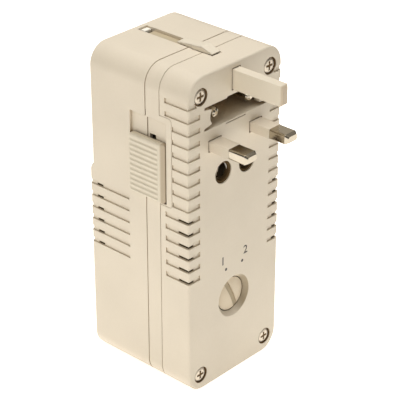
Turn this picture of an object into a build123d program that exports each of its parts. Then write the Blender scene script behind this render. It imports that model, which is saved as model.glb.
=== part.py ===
from build123d import *
import math
import os

# Travel voltage converter: a tall block with a plug face in front.
# The origin is the middle of the bottom face. +X is right as the plug face is seen, +Y runs back into the
# case, +Z is up. A depth is measured back from the plug face.

# Case
case_width = 50.4
case_depth = 50.8
case_height = 131.2
corner_radius = 8.0
front_rim_radius = 0.9
rear_rim_radius = 0.9
wall = 2.0
front_wall = 2.5
cover_depth = 14.0
ring_depth = 7.0
front_seam = 0.3
rear_seam = 0.45
lip_thickness = 0.8
lip_length = 1.5
lip_gap = 0.05
upper_back_step = 1.5
lower_back_drop = 48.2
lower_back_slope = 3.0
cut_overrun = 1.0

# Clearances
running_gap = 0.3
seat_gap = 0.03
bearing_gap = 0.08

# Corner grooves and vents
groove_pitch = 5.05
groove_count = 15
vent_count = 6
groove_height = 2.0
groove_depth = 1.2
top_groove_drop = 10.3
groove_front_reach = 6.2
upper_groove_reach = 8.0
lower_groove_reach = 11.5
top_groove_reach = 11.5
top_groove_count = 2
top_groove_front_reach = 4.4
slot_side_reach = 5.5
slot_front_reach = 3.2
vent_side_reach = 20.6
vent_slot_side_reach = 7.1
vent_back_reach = 6.2
vent_slot_back_reach = 3.2

# Case screws
screw_side_inset = 6.6
screw_edge_top = 7.8
screw_edge_bottom = 6.6
screw_head_radius = 3.0
screw_head_recess_radius = 3.4
screw_head_recess_depth = 1.6
screw_head_height = 1.3
screw_dome_rise = 0.45
screw_dome_reach = 0.9
screw_shank_radius = 1.3
screw_hole_radius = 1.5
screw_length = 17.0
screw_boss_radius = 3.0
boss_rib = 1.4
cross_width = 0.9
cross_length = 3.6
cross_depth = 0.9

# Plug set that is out: two flat pins below, one larger pin above
pin_row_drop = 28.7
pin_spacing = 22.23
earth_rise = 22.23
flat_pin_width = 6.35
flat_pin_height = 3.97
flat_pin_length = 17.7
flat_pin_sleeve = 9.2
flat_pin_bevel_length = 1.3
flat_pin_bevel_inset = 0.8
flat_pin_edge = 0.8
flat_sleeve_edge = 0.35
flat_core_width = 5.0
flat_core_height = 2.6
flat_pin_tail = 3.0
earth_width = 3.97
earth_height = 7.92
earth_length = 22.7
earth_chamfer = 0.8
earth_edge = 0.3
pin_hole_gap = 0.35
uk_plate_depth = 5.0
uk_plate = 3.0
uk_bar_drop = 4.0
uk_bar_half_width = 16.4
uk_side_bar = 2.5
uk_top_half_width = 4.4
uk_headroom = 0.35
uk_arm_length = 15.0
uk_arm_height = 4.0
uk_arm_half_width = 3.4

# Top lever and its slot
lever_slot_half_width = 2.5
lever_slot_front = 9.2
lever_slot_spare = 1.4
lever_gap = 0.2
back_port_height = 3.2
slot_rim_thickness = 1.1
lever_front = 9.6
lever_back = 27.0
lever_half_width = 2.2
lever_wide_half = 2.9
lever_wide_back = 19.0
lever_peak_depth = 14.3
lever_peak_rise = 2.0
lever_toe_rise = 0.5
lever_heel_rise = 0.6
lever_neck_front = 12.0
lever_neck_back = 22.5
lever_neck_drop = 2.0
lip_relief_half_width = 6.0

# Window and carrier of the round pins
round_pin_spacing = 19.0
round_pin_radius = 2.0
round_pin_length = 19.0
round_pin_sleeve = 10.0
round_pin_core = 1.5
round_sleeve_radius = 1.9
round_pin_inset = 1.0
round_pin_seat = 10.0
round_pin_tip_flat = 0.8
round_pin_tip_middle = 1.6
round_pin_tip_rise = 0.4
round_pin_tip_length = 1.2
window_drop = 17.3
window_half_width = 16.7
window_height = 9.2
window_notch_half = 4.8
window_notch_rise = 0.5
window_line_half = 5.4
window_line_drop = 0.75
window_line_height = 0.35
window_line_depth = 0.5
tab_root_half = 3.7
tab_tip_half = 2.9
tab_tip_place = 12.9
tab_arc_radius = 4.2
carrier_radius = 3.9
carrier_rear_gap = 3.3
eu_slot_front = 4.7
guide_plate = 0.9
guide_half_width = 13.3
guide_rear_start = 31.5
guide_wall = 0.9
eu_contact_width = 2.4
eu_contact_thickness = 0.35
eu_contact_start = 6.0
eu_contact_length = 24.0

# Thumb levers on the right side
side_neck_length = 3.0
side_neck_height = 2.0
side_slot_height = 2.6
side_neck_seat = 1.9
side_pad_rise = 1.1
side_pad_length = 9.0
side_pad_height = 8.0
side_pad_edge = 0.8
side_pad_rib_count = 3
side_pad_rib_pitch = 2.4
side_pad_rib_width = 1.0
side_pad_rib_depth = 0.4
eu_neck_drop = 0.95
us_neck_drop = 1.9

# Round holes, holders and blades of the flat-blade set
blade_spacing = 13.0
blade_drop = 41.9
blade_hole_radius = 4.4
barrel_radius = 4.1
barrel_front = 3.5
barrel_shaft_radius = 2.9
blade_width = 1.5
blade_height = 6.3
blade_length = 19.0
blade_edge = 0.3
blade_inset = 3.0
blade_tail_radius = 1.3
blade_tail = 3.0
blade_seat = 3.0
us_plate = 4.5
us_plate_half_width = 11.5
us_plate_half_height = 4.5
shelf_thickness = 2.0
channel_wall = 1.2
channel_lip = 2.0
channel_lip_thickness = 1.0
channel_length = 30.0
contact_plate = 0.6
contact_plate_half_width = 2.4
contact_plate_half_height = 3.2

# Dark collar set into the front wall behind the two round holes
collar_front = 0.5
collar_half_width = 13.0
collar_half_height = 5.5
collar_hole_gap = 0.3

# Contact rails under the tails of the flat pins
rail_half_width = 1.2
rail_height = 1.0
rail_start = 9.5

# Thumb slide on the left side
recess_depth = 1.2
recess_front = 10.9
recess_back = 28.9
recess_length = 32.6
recess_drop = 19.4
slide_length = 24.0
slide_rise = 1.3
slide_edge = 0.9
slide_corner = 1.2
slide_travel = 8.0
slide_groove_count = 11
slide_groove_pitch = 2.0
slide_groove_height = 1.5
slide_groove_depth = 0.28
slide_groove_front = 3.0
slide_groove_bottom = 0.8
slide_bevel_reach = 2.1
slide_bevel_drop = 1.0
stem_front = 17.2
stem_back = 19.7
stem_rise = 6.3
stem_length = 11.2
keeper_thickness = 1.2
keeper_front = 14.5
keeper_back = 23.0
keeper_rise = 6.6
keeper_length = 15.0
frame_tab_front = 8.0
frame_tab_below = 0.4
frame_tab_above = 2.4
frame_tab_corner = 1.5

# Selector
selector_height = 34.0
selector_rim_radius = 8.7
selector_bore_radius = 7.2
selector_cone_depth = 1.9
knob_radius = 6.85
knob_depth = 2.0
knob_thickness = 3.6
knob_dome_rise = 0.9
knob_rest_angle = -25.0
coin_slot_width = 2.1
coin_slot_depth = 1.6
knob_collar_wall = 1.6
knob_shaft_radius = 2.4
knob_shaft_length = 11.0
rotor_radius = 5.4
rotor_thickness = 4.0
rotor_lobe = 1.6
switch_half_width = 10.5
switch_half_height = 10.5
switch_length = 12.0
switch_floor = 2.5
terminal_width = 4.8
terminal_thickness = 0.8
terminal_count = 3
terminal_pitch = 6.5

# Transformer
core_side_gap = 3.2
core_lift = 1.0
core_headroom = 4.0
core_stack = 18.0
core_limb_share = 0.3
core_yoke_share = 0.182
core_centre_share = 0.3
core_screw_radius = 1.4
core_screw_head_radius = 2.6
core_screw_head = 1.6
core_screw_tip = 6.0
core_post_radius = 2.9
bobbin_wall = 1.0
bobbin_flange = 1.2
winding_gap = 0.1
primary_share = 0.51
winding_side_gap = 0.5
tape_thickness = 0.25
fuse_radius = 1.8
fuse_length = 11.0

# Board and output socket on the back
board_half_width = 14.0
board_bottom = 10.5
board_height = 29.0
board_thickness = 1.6
socket_half_width = 15.0
socket_bottom = 11.0
socket_height = 26.0
socket_depth = 18.0
socket_recess = 0.6
socket_corner = 4.0
socket_flange = 1.2
socket_flange_width = 1.0
round_hole_radius = 2.6
round_hole_rise = 5.5
flat_slot_spacing = 12.7
flat_slot_width = 2.2
flat_slot_height = 7.2
flat_slot_drop = 6.0
socket_floor = 1.5
clip_thickness = 0.8
clip_half_width = 4.5
clip_half_height = 9.5

# Heights, depths and places that follow from the sizes above
front_y = -case_depth / 2
back_y = case_depth / 2
ring_back = cover_depth + ring_depth
upper_depth = case_depth - upper_back_step
upper_inner_depth = upper_depth - wall
lower_inner_depth = case_depth - wall
screw_top = case_height - screw_edge_top
screw_offset = case_width / 2 - screw_side_inset
lower_back_height = case_height - lower_back_drop
groove_levels = [case_height - top_groove_drop - i * groove_pitch for i in reversed(range(groove_count))]
vent_levels = groove_levels[:vent_count]
pin_row_height = case_height - pin_row_drop
window_height_place = case_height - window_drop
blade_height_place = case_height - blade_drop
earth_place = pin_row_height + earth_rise
window_bottom = window_height_place - window_height / 2
window_top = window_height_place + window_height / 2
uk_plate_back = uk_plate_depth + uk_plate
uk_bar_bottom = pin_row_height - uk_bar_drop
inner_top = case_height - wall
uk_top = inner_top - uk_headroom
uk_window_bottom = window_bottom - guide_plate - running_gap
uk_window_top = window_top + guide_plate + running_gap
uk_travel = earth_length
lever_slot_back = lever_neck_back + uk_travel + lever_slot_spare
rail_top = pin_row_height - flat_pin_height / 2 - running_gap
carrier_front = round_pin_inset + round_pin_length
carrier_back = upper_inner_depth - carrier_rear_gap
carrier_length = carrier_back - carrier_front
carrier_half_width = round_pin_spacing / 2 + carrier_radius
eu_travel = carrier_back - side_neck_length - running_gap - eu_slot_front
eu_neck_height = window_height_place - eu_neck_drop
us_neck_height = blade_height_place - us_neck_drop
barrel_place = blade_inset + blade_length
us_travel = barrel_place - front_wall - running_gap
us_plate_front = barrel_place + barrel_front
us_plate_back = us_plate_front + us_plate
shelf_top = blade_height_place - us_plate_half_height - running_gap
shelf_bottom = shelf_top - shelf_thickness
channel_top = blade_height_place + us_plate_half_height + running_gap
channel_inner = us_plate_half_width + running_gap
recess_floor = -case_width / 2 + recess_depth
recess_top = case_height - recess_drop
recess_bottom = recess_top - recess_length
slide_bottom = recess_bottom + running_gap
stem_bottom = recess_bottom + stem_rise
keeper_bottom = recess_bottom + keeper_rise
frame_tab_bottom = recess_bottom - frame_tab_below
frame_tab_top = recess_top + frame_tab_above
inner_side = case_width / 2 - wall
lip_inner_side = inner_side - lip_thickness
frame_join = inner_side - lip_thickness / 2
core_half_width = inner_side - core_side_gap
core_limb = core_half_width * core_limb_share
core_centre_half = core_half_width * core_centre_share
core_bottom = selector_height + switch_half_height + core_lift
core_height = shelf_bottom - core_headroom - core_bottom
core_yoke = core_height * core_yoke_share
core_front = (front_wall + lower_inner_depth - core_stack) / 2
core_hole_inset = core_limb / 2
board_front = case_depth - socket_recess - socket_depth - clip_thickness - board_thickness


def at_depth(depth):
    """Y of a plane that lies depth behind the plug face."""
    return front_y + depth


def face_plane(depth):
    """Upright plane facing the plug side; its own axes are X and Z."""
    return Plane(origin=(0, at_depth(depth), 0), x_dir=(1, 0, 0), z_dir=(0, -1, 0))


def side_plane(place):
    """Upright plane facing +X at X = place; its own axes are Y and Z."""
    return Plane(origin=(place, 0, 0), x_dir=(0, 1, 0), z_dir=(1, 0, 0))


def box_between(low, high, mode=Mode.ADD):
    """Block from its lowest corner to its highest corner."""
    size = [b - a for a, b in zip(low, high)]
    centre = [(a + b) / 2 for a, b in zip(low, high)]
    with Locations(tuple(centre)):
        Box(*size, mode=mode)


def case_outline(inset=0, mode=Mode.ADD):
    """Outline of the case in the X-Z plane, drawn in by inset."""
    width = case_width - 2 * inset
    height = case_height - 2 * inset
    with Locations((0, case_height / 2)):
        RectangleRounded(width, height, corner_radius - inset, mode=mode)


def corner_band(side, depth, along_side, along_face, cut, front):
    """L-shaped plan of a groove that wraps one upright edge of the case."""
    outer = side * (case_width / 2 + cut_overrun)
    side_floor = side * (case_width / 2 - cut)
    face_end = side * (case_width / 2 - along_face)
    edge = at_depth(depth)
    sign = 1 if front else -1
    Polygon(
        (outer, edge - sign * cut_overrun),
        (face_end, edge - sign * cut_overrun),
        (face_end, edge + sign * cut),
        (side_floor, edge + sign * cut),
        (side_floor, edge + sign * along_side),
        (outer, edge + sign * along_side),
        align=None,
    )


def lever_slot_cut(start, end):
    """Long slot in the top wall for the lever."""
    box_between(
        (-lever_slot_half_width, at_depth(start), inner_top - lip_thickness - cut_overrun),
        (lever_slot_half_width, at_depth(end), case_height + cut_overrun),
        Mode.SUBTRACT,
    )


def side_slots_cut(start, end):
    """Slots in the right wall for the necks of the two side levers."""
    eu_front = carrier_back - side_neck_length - eu_travel - running_gap
    us_front = us_plate_back - side_neck_length - us_travel - running_gap
    for height, front, back in (
        (eu_neck_height, eu_front, carrier_back + running_gap),
        (us_neck_height, us_front, us_plate_back + running_gap),
    ):
        low = max(start, front)
        high = min(end, back)
        if high > low:
            box_between(
                (lip_inner_side - cut_overrun, at_depth(low), height - side_slot_height / 2),
                (case_width / 2 + cut_overrun, at_depth(high), height + side_slot_height / 2),
                Mode.SUBTRACT,
            )


def slide_recess_cut():
    """Shallow recess in the left side in which the thumb slide runs."""
    box_between(
        (-case_width / 2 - cut_overrun, at_depth(recess_front), recess_bottom),
        (recess_floor, at_depth(recess_back), recess_top),
        Mode.SUBTRACT,
    )


def tab_outline(depth, back, grow):
    """Outline of the forward tab of the middle frame, with its two front corners rounded."""
    with Locations((at_depth((depth + back) / 2), (frame_tab_bottom + frame_tab_top) / 2)):
        RectangleRounded(back - depth, frame_tab_top - frame_tab_bottom + 2 * grow, frame_tab_corner)


def screw_places():
    """Centres of the four case screws in the plug face."""
    return [(s * screw_offset, z) for z in (screw_top, screw_edge_bottom) for s in (-1, 1)]


parts = {}

# Front cover
with BuildPart() as front_cover:
    with BuildSketch(face_plane(0)):
        case_outline()
    extrude(amount=-(cover_depth - front_seam / 2))
    fillet(front_cover.faces().sort_by(Axis.Y)[0].outer_wire().edges(), front_rim_radius)
    with BuildSketch(face_plane(front_wall)):
        case_outline(wall)
    extrude(amount=-cover_depth, mode=Mode.SUBTRACT)
    # Screw bosses with their ribs, and the collar round the selector
    with BuildSketch(face_plane(front_wall)):
        with Locations(*screw_places()):
            Circle(screw_boss_radius)
        for x, z in screw_places():
            with Locations(((x + math.copysign(inner_side, x)) / 2, z)):
                Rectangle(inner_side - abs(x), boss_rib)
    extrude(amount=-(cover_depth - front_wall - front_seam))
    with BuildSketch(face_plane(front_wall)):
        with Locations((0, selector_height)):
            Circle(selector_bore_radius + knob_collar_wall)
    extrude(amount=-(knob_depth + knob_thickness - front_wall))
    # Window with its two guard tabs
    with BuildSketch(face_plane(0)):
        with Locations((0, window_height_place)):
            Rectangle(2 * window_half_width, window_height)
        for side in (-1, 1):
            with BuildLine():
                Polyline(
                    (side * (window_half_width + cut_overrun), window_height_place - tab_root_half),
                    (side * (window_half_width + cut_overrun), window_height_place + tab_root_half),
                    (side * window_half_width, window_height_place + tab_root_half),
                    (side * tab_tip_place, window_height_place + tab_tip_half),
                    (side * tab_tip_place, window_height_place - tab_tip_half),
                    (side * window_half_width, window_height_place - tab_root_half),
                    close=True,
                )
            make_face(mode=Mode.SUBTRACT)
        with Locations(*[(s * round_pin_spacing / 2, window_height_place) for s in (-1, 1)]):
            Circle(tab_arc_radius)
        with Locations((0, window_top)):
            Rectangle(2 * window_notch_half, 2 * window_notch_rise)
    extrude(amount=-front_wall - cut_overrun, mode=Mode.SUBTRACT)
    with BuildSketch(face_plane(0)):
        with Locations((0, window_bottom - window_line_drop)):
            Rectangle(2 * window_line_half, window_line_height)
    extrude(amount=-window_line_depth, mode=Mode.SUBTRACT)
    # Holes of the three pins and of the two blade holders
    with BuildSketch(face_plane(0)):
        with Locations(*[(s * pin_spacing / 2, pin_row_height) for s in (-1, 1)]):
            Rectangle(flat_pin_width + 2 * pin_hole_gap, flat_pin_height + 2 * pin_hole_gap)
        with Locations((0, earth_place)):
            Rectangle(earth_width + 2 * pin_hole_gap, earth_height + 2 * running_gap)
        with Locations(*[(s * blade_spacing / 2, blade_height_place) for s in (-1, 1)]):
            Circle(blade_hole_radius)
    extrude(amount=-front_wall - cut_overrun, mode=Mode.SUBTRACT)
    # Pocket for the collar behind the round holes
    box_between(
        (-collar_half_width, at_depth(collar_front), blade_height_place - collar_half_height),
        (collar_half_width, at_depth(front_wall + cut_overrun), blade_height_place + collar_half_height),
        Mode.SUBTRACT,
    )
    # Selector bore with its conical mouth
    with BuildSketch(face_plane(0)):
        with Locations((0, selector_height)):
            Circle(selector_bore_radius)
    extrude(amount=-cover_depth, mode=Mode.SUBTRACT)
    with BuildSketch(face_plane(0)):
        with Locations((0, selector_height)):
            Circle(selector_rim_radius)
    with BuildSketch(face_plane(selector_cone_depth)):
        with Locations((0, selector_height)):
            Circle(selector_bore_radius)
    loft(mode=Mode.SUBTRACT)
    # Screw recesses and holes
    with BuildSketch(face_plane(0)):
        with Locations(*screw_places()):
            Circle(screw_head_recess_radius)
    extrude(amount=-screw_head_recess_depth, mode=Mode.SUBTRACT)
    with BuildSketch(face_plane(0)):
        with Locations(*screw_places()):
            Circle(screw_hole_radius)
    extrude(amount=-cover_depth, mode=Mode.SUBTRACT)
    # Corner grooves, the lower ones with slots through the wall
    for i, level in enumerate(groove_levels):
        reach = upper_groove_reach
        face_reach = groove_front_reach
        if i < vent_count:
            reach = lower_groove_reach
        if i >= groove_count - top_groove_count:
            reach = top_groove_reach
        if i == groove_count - 1:
            face_reach = top_groove_front_reach
        for side in (-1, 1):
            with BuildSketch(Plane.XY.offset(level - groove_height / 2)):
                corner_band(side, 0, reach, face_reach, groove_depth, True)
            extrude(amount=groove_height, mode=Mode.SUBTRACT)
            if i < vent_count:
                x = side * case_width / 2
                low = min(x + side * cut_overrun, x - side * slot_front_reach)
                high = max(x + side * cut_overrun, x - side * slot_front_reach)
                box_between(
                    (low, front_y - cut_overrun, level - groove_height / 2),
                    (high, at_depth(slot_side_reach), level + groove_height / 2),
                    Mode.SUBTRACT,
                )
    # Notch for the forward tab of the middle frame, and the lever slots
    with BuildSketch(side_plane(-case_width / 2 - cut_overrun)):
        tab_outline(frame_tab_front, cover_depth + ring_depth, front_seam)
    extrude(amount=wall + 2 * cut_overrun, mode=Mode.SUBTRACT)
    lever_slot_cut(lever_slot_front, cover_depth)
    side_slots_cut(0, cover_depth)
parts["front_cover"] = front_cover

# Middle frame: the ring between the seams, with lips inside both neighbours, a tab round the thumb slide
# and the guides of the two sets that are drawn back
with BuildPart() as middle_frame:
    with BuildSketch(face_plane(cover_depth + front_seam / 2)):
        case_outline()
        case_outline(wall + lip_thickness, Mode.SUBTRACT)
    extrude(amount=-(ring_depth - front_seam / 2 - rear_seam / 2))
    with BuildSketch(face_plane(cover_depth - lip_length)):
        case_outline(wall + lip_gap)
        case_outline(wall + lip_thickness, Mode.SUBTRACT)
    extrude(amount=-(ring_depth + 2 * lip_length))
    # Tab in front of the ring, round the thumb slide
    with BuildSketch(side_plane(-case_width / 2)):
        tab_outline(frame_tab_front + front_seam, cover_depth + ring_depth / 2, 0)
    extrude(amount=wall + lip_thickness)
    # Room for the screw bosses that pass through the ring
    for x, z in screw_places():
        near_x = math.copysign(inner_side + cut_overrun, x)
        low_x = min(x - math.copysign(screw_boss_radius + running_gap, x), near_x)
        high_x = max(x - math.copysign(screw_boss_radius + running_gap, x), near_x)
        for front, back in ((cover_depth - lip_length - cut_overrun, cover_depth + front_seam / 2),
                            (ring_back - rear_seam / 2, ring_back + lip_length + cut_overrun)):
            box_between(
                (low_x, at_depth(front), z - screw_boss_radius - running_gap),
                (high_x, at_depth(back), z + screw_boss_radius + running_gap),
                Mode.SUBTRACT,
            )
    with BuildSketch(face_plane(cover_depth - lip_length - cut_overrun)):
        with Locations(*screw_places()):
            Circle(screw_boss_radius + running_gap)
    extrude(amount=-(ring_depth + 2 * lip_length + 2 * cut_overrun), mode=Mode.SUBTRACT)
    # The lip stops under the lever, where the upper pin slides past
    box_between(
        (-lip_relief_half_width, at_depth(cover_depth - lip_length - cut_overrun),
         inner_top - lip_thickness - cut_overrun),
        (lip_relief_half_width, at_depth(ring_back + lip_length + cut_overrun), inner_top),
        Mode.SUBTRACT,
    )
    lever_slot_cut(cover_depth - lip_length - cut_overrun, ring_back + lip_length + cut_overrun)
    side_slots_cut(cover_depth - lip_length - cut_overrun, ring_back + lip_length + cut_overrun)
    slide_recess_cut()
    # Guide of the round-pin carrier: floor and ceiling behind the window, joined at the back
    for low in (window_bottom - guide_plate, window_top):
        box_between(
            (-guide_half_width, at_depth(front_wall), low),
            (frame_join, at_depth(ring_back), low + guide_plate),
        )
        box_between(
            (-guide_half_width, at_depth(ring_back), low),
            (guide_half_width, at_depth(upper_inner_depth - seat_gap), low + guide_plate),
        )
        box_between(
            (-window_half_width - guide_wall, at_depth(guide_rear_start), low),
            (window_half_width + guide_wall, at_depth(upper_inner_depth - seat_gap), low + guide_plate),
        )
    box_between(
        (-window_half_width - guide_wall, at_depth(guide_rear_start), window_bottom - guide_plate),
        (-window_half_width, at_depth(upper_inner_depth - seat_gap), window_top + guide_plate),
    )
    # Guide of the blade carriage: a shelf above the transformer and a channel on it
    box_between(
        (-frame_join, at_depth(front_wall), shelf_bottom),
        (frame_join, at_depth(upper_inner_depth - seat_gap), shelf_top),
    )
    for side in (-1, 1):
        low_x, high_x = sorted((side * channel_inner, side * (channel_inner + channel_wall)))
        box_between(
            (low_x, at_depth(front_wall), shelf_top),
            (high_x, at_depth(front_wall + channel_length), channel_top + channel_lip_thickness),
        )
        lip_end = frame_join if side > 0 else channel_inner + channel_wall
        low_x, high_x = sorted((side * (channel_inner - channel_lip), side * lip_end))
        box_between(
            (low_x, at_depth(front_wall), channel_top),
            (high_x, at_depth(front_wall + channel_length), channel_top + channel_lip_thickness),
        )
    box_between(
        (us_plate_half_width, at_depth(us_plate_back - side_neck_length - us_travel - running_gap),
         us_neck_height - side_slot_height / 2),
        (frame_join, at_depth(us_plate_back + running_gap), us_neck_height + side_slot_height / 2),
        Mode.SUBTRACT,
    )
    # Slot for the stem of the slide
    box_between(
        (-case_width / 2, at_depth(stem_front - running_gap), stem_bottom - running_gap),
        (-lip_inner_side + cut_overrun, at_depth(stem_back + running_gap),
         stem_bottom + stem_length + slide_travel + running_gap),
        Mode.SUBTRACT,
    )
parts["middle_frame"] = middle_frame

# Upper back of the rear housing, one step in front of the lower back
with BuildPart() as upper_back:
    with BuildSketch(face_plane(ring_back + rear_seam / 2)):
        case_outline()
    extrude(amount=-(upper_depth - ring_back - rear_seam / 2))
    fillet(upper_back.faces().sort_by(Axis.Y)[-1].outer_wire().edges(), rear_rim_radius)

# Rear housing
with BuildPart() as rear_housing:
    with BuildSketch(face_plane(ring_back + rear_seam / 2)):
        case_outline()
        with Locations((0, lower_back_height + case_height / 2)):
            Rectangle(case_width + cut_overrun, case_height, mode=Mode.SUBTRACT)
    extrude(amount=-(case_depth - ring_back - rear_seam / 2))
    back_edges = rear_housing.faces().sort_by(Axis.Y)[-1].outer_wire().edges()
    top_edge = back_edges.sort_by(Axis.Z)[-1]
    fillet([edge for edge in back_edges if edge is not top_edge], rear_rim_radius)
    with BuildSketch(side_plane(-case_width / 2 - cut_overrun)):
        Polygon(
            (at_depth(upper_depth), lower_back_height),
            (back_y, lower_back_height - lower_back_slope),
            (back_y + cut_overrun, lower_back_height - lower_back_slope),
            (back_y + cut_overrun, lower_back_height + cut_overrun),
            (at_depth(upper_depth), lower_back_height + cut_overrun),
            align=None,
        )
    extrude(amount=case_width + 2 * cut_overrun, mode=Mode.SUBTRACT)
    add(upper_back.part)
    with BuildSketch(face_plane(0)):
        case_outline(wall)
    extrude(amount=-upper_inner_depth, mode=Mode.SUBTRACT)
    with BuildSketch(face_plane(0)):
        case_outline(wall)
        with Locations((0, lower_back_height - lower_back_slope - wall + case_height / 2)):
            Rectangle(case_width, case_height, mode=Mode.SUBTRACT)
    extrude(amount=-lower_inner_depth, mode=Mode.SUBTRACT)
    # Posts that take the case screws and the transformer screws
    with BuildSketch(face_plane(cover_depth)):
        with Locations(*screw_places()):
            Circle(screw_boss_radius)
    extrude(amount=-(upper_inner_depth + wall / 2 - cover_depth))
    with BuildSketch(face_plane(upper_inner_depth)):
        with Locations(*[(s * screw_offset, screw_edge_bottom) for s in (-1, 1)]):
            Circle(screw_boss_radius)
    extrude(amount=-(lower_inner_depth + wall / 2 - upper_inner_depth))
    core_screws = [
        (s * (core_half_width - core_hole_inset), z)
        for s in (-1, 1)
        for z in (core_bottom + core_hole_inset, core_bottom + core_height - core_hole_inset)
    ]
    with BuildSketch(face_plane(core_front + core_stack)):
        with Locations(*core_screws):
            Circle(core_post_radius)
    extrude(amount=-(lower_inner_depth + wall / 2 - core_front - core_stack))
    with BuildSketch(face_plane(cover_depth)):
        with Locations(*screw_places()):
            Circle(screw_shank_radius + seat_gap)
    extrude(amount=-(screw_length + screw_head_recess_depth - cover_depth + cut_overrun), mode=Mode.SUBTRACT)
    with BuildSketch(face_plane(core_front + core_stack)):
        with Locations(*core_screws):
            Circle(core_screw_radius + seat_gap)
    extrude(amount=-(core_screw_tip + cut_overrun), mode=Mode.SUBTRACT)
    # Vents round the two back corners
    for level in vent_levels:
        for side in (-1, 1):
            with BuildSketch(Plane.XY.offset(level - groove_height / 2)):
                corner_band(side, case_depth, vent_side_reach, vent_back_reach, groove_depth, False)
            extrude(amount=groove_height, mode=Mode.SUBTRACT)
            x = side * case_width / 2
            low = min(x + side * cut_overrun, x - side * vent_slot_back_reach)
            high = max(x + side * cut_overrun, x - side * vent_slot_back_reach)
            box_between(
                (low, at_depth(case_depth - vent_slot_side_reach), level - groove_height / 2),
                (high, back_y + cut_overrun, level + groove_height / 2),
                Mode.SUBTRACT,
            )
    # Lever slot with a thin rim behind it, the port under the rim, side slots and slide recess
    lever_slot_cut(ring_back - cut_overrun, lever_slot_back)
    port_top = case_height - slot_rim_thickness
    box_between(
        (-lever_slot_half_width, at_depth(upper_inner_depth - cut_overrun), port_top - back_port_height),
        (lever_slot_half_width, at_depth(case_depth), port_top),
        Mode.SUBTRACT,
    )
    side_slots_cut(ring_back - cut_overrun, case_depth)
    slide_recess_cut()
    # Opening for the output socket
    with BuildSketch(face_plane(upper_inner_depth)):
        with Locations((0, socket_bottom + socket_height / 2)):
            RectangleRounded(2 * (socket_half_width + seat_gap), socket_height + 2 * seat_gap,
                             socket_corner + seat_gap)
    extrude(amount=-(case_depth + cut_overrun - upper_inner_depth), mode=Mode.SUBTRACT)
parts["rear_housing"] = rear_housing

# Four case screws with cross slots
with BuildPart() as case_screws:
    head_back = screw_head_recess_depth
    with BuildSketch(face_plane(head_back - screw_head_height)):
        with Locations(*screw_places()):
            Circle(screw_head_radius)
    extrude(amount=-screw_head_height)
    chamfer(case_screws.faces().filter_by(Axis.Y).group_by(Axis.Y)[0].edges(), screw_dome_rise,
            screw_dome_reach)
    with BuildSketch(face_plane(head_back)):
        with Locations(*screw_places()):
            Circle(screw_shank_radius)
    extrude(amount=-screw_length)
    with BuildSketch(face_plane(head_back - screw_head_height)):
        with Locations(*screw_places()):
            Rectangle(cross_length, cross_width)
            Rectangle(cross_width, cross_length)
    extrude(amount=-cross_depth, mode=Mode.SUBTRACT)
parts["case_screws"] = case_screws

# Carriage of the three pins: a C-shaped plate that passes round the guide of the round-pin set
with BuildPart() as uk_carriage:
    with BuildSketch(face_plane(uk_plate_depth)):
        bar_inner = uk_bar_half_width - uk_side_bar
        with BuildLine():
            Polyline(
                (-uk_bar_half_width, uk_bar_bottom),
                (uk_bar_half_width, uk_bar_bottom),
                (uk_bar_half_width, uk_window_bottom),
                (-bar_inner, uk_window_bottom),
                (-bar_inner, uk_window_top),
                (uk_top_half_width, uk_window_top),
                (uk_top_half_width, uk_top),
                (-uk_top_half_width, uk_top),
                (-bar_inner + running_gap, uk_window_top + uk_side_bar),
                (-uk_bar_half_width, uk_window_top + running_gap),
                close=True,
            )
        make_face()
    extrude(amount=-uk_plate)
    box_between(
        (-uk_arm_half_width, at_depth(uk_plate_back), uk_top - uk_arm_height),
        (uk_arm_half_width, at_depth(uk_plate_back + uk_arm_length), uk_top),
    )
    with BuildSketch(face_plane(uk_plate_depth)):
        with Locations(*[(s * pin_spacing / 2, pin_row_height) for s in (-1, 1)]):
            Rectangle(flat_core_width + 2 * seat_gap, flat_core_height + 2 * seat_gap)
        with Locations((0, earth_place)):
            Rectangle(earth_width + 2 * seat_gap, earth_height + 2 * seat_gap)
    extrude(amount=-uk_plate, mode=Mode.SUBTRACT)
    for side in (-1, 1):
        centre = side * pin_spacing / 2
        box_between(
            (centre - rail_half_width - running_gap, at_depth(uk_plate_depth - cut_overrun),
             uk_bar_bottom - cut_overrun),
            (centre + rail_half_width + running_gap, at_depth(uk_plate_back + cut_overrun),
             rail_top + running_gap),
            Mode.SUBTRACT,
        )
    box_between(
        (-lever_half_width - seat_gap, at_depth(lever_neck_front - seat_gap), uk_top - lever_neck_drop),
        (lever_half_width + seat_gap, at_depth(lever_neck_back + seat_gap), uk_top + cut_overrun),
        Mode.SUBTRACT,
    )
parts["uk_carriage"] = uk_carriage


def flat_pin(centre):
    """Metal pin: a full tip with a bevelled end, and a thinner core inside the sleeve."""
    with BuildPart() as pin:
        with BuildSketch(face_plane(-flat_pin_length + flat_pin_bevel_length)):
            with Locations((centre, pin_row_height)):
                RectangleRounded(flat_pin_width, flat_pin_height, flat_pin_edge)
        extrude(amount=-(flat_pin_length - flat_pin_bevel_length - flat_pin_sleeve))
        with BuildSketch(face_plane(-flat_pin_length)):
            with Locations((centre, pin_row_height)):
                RectangleRounded(flat_pin_width - 2 * flat_pin_bevel_inset,
                                 flat_pin_height - 2 * flat_pin_bevel_inset, flat_pin_edge)
        with BuildSketch(face_plane(-flat_pin_length + flat_pin_bevel_length)):
            with Locations((centre, pin_row_height)):
                RectangleRounded(flat_pin_width, flat_pin_height, flat_pin_edge)
        loft()
        with BuildSketch(face_plane(-flat_pin_sleeve)):
            with Locations((centre, pin_row_height)):
                Rectangle(flat_core_width, flat_core_height)
        extrude(amount=-(flat_pin_sleeve + uk_plate_back + flat_pin_tail))
    return pin


parts["uk_live_pin"] = flat_pin(pin_spacing / 2)
parts["uk_neutral_pin"] = flat_pin(-pin_spacing / 2)

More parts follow.
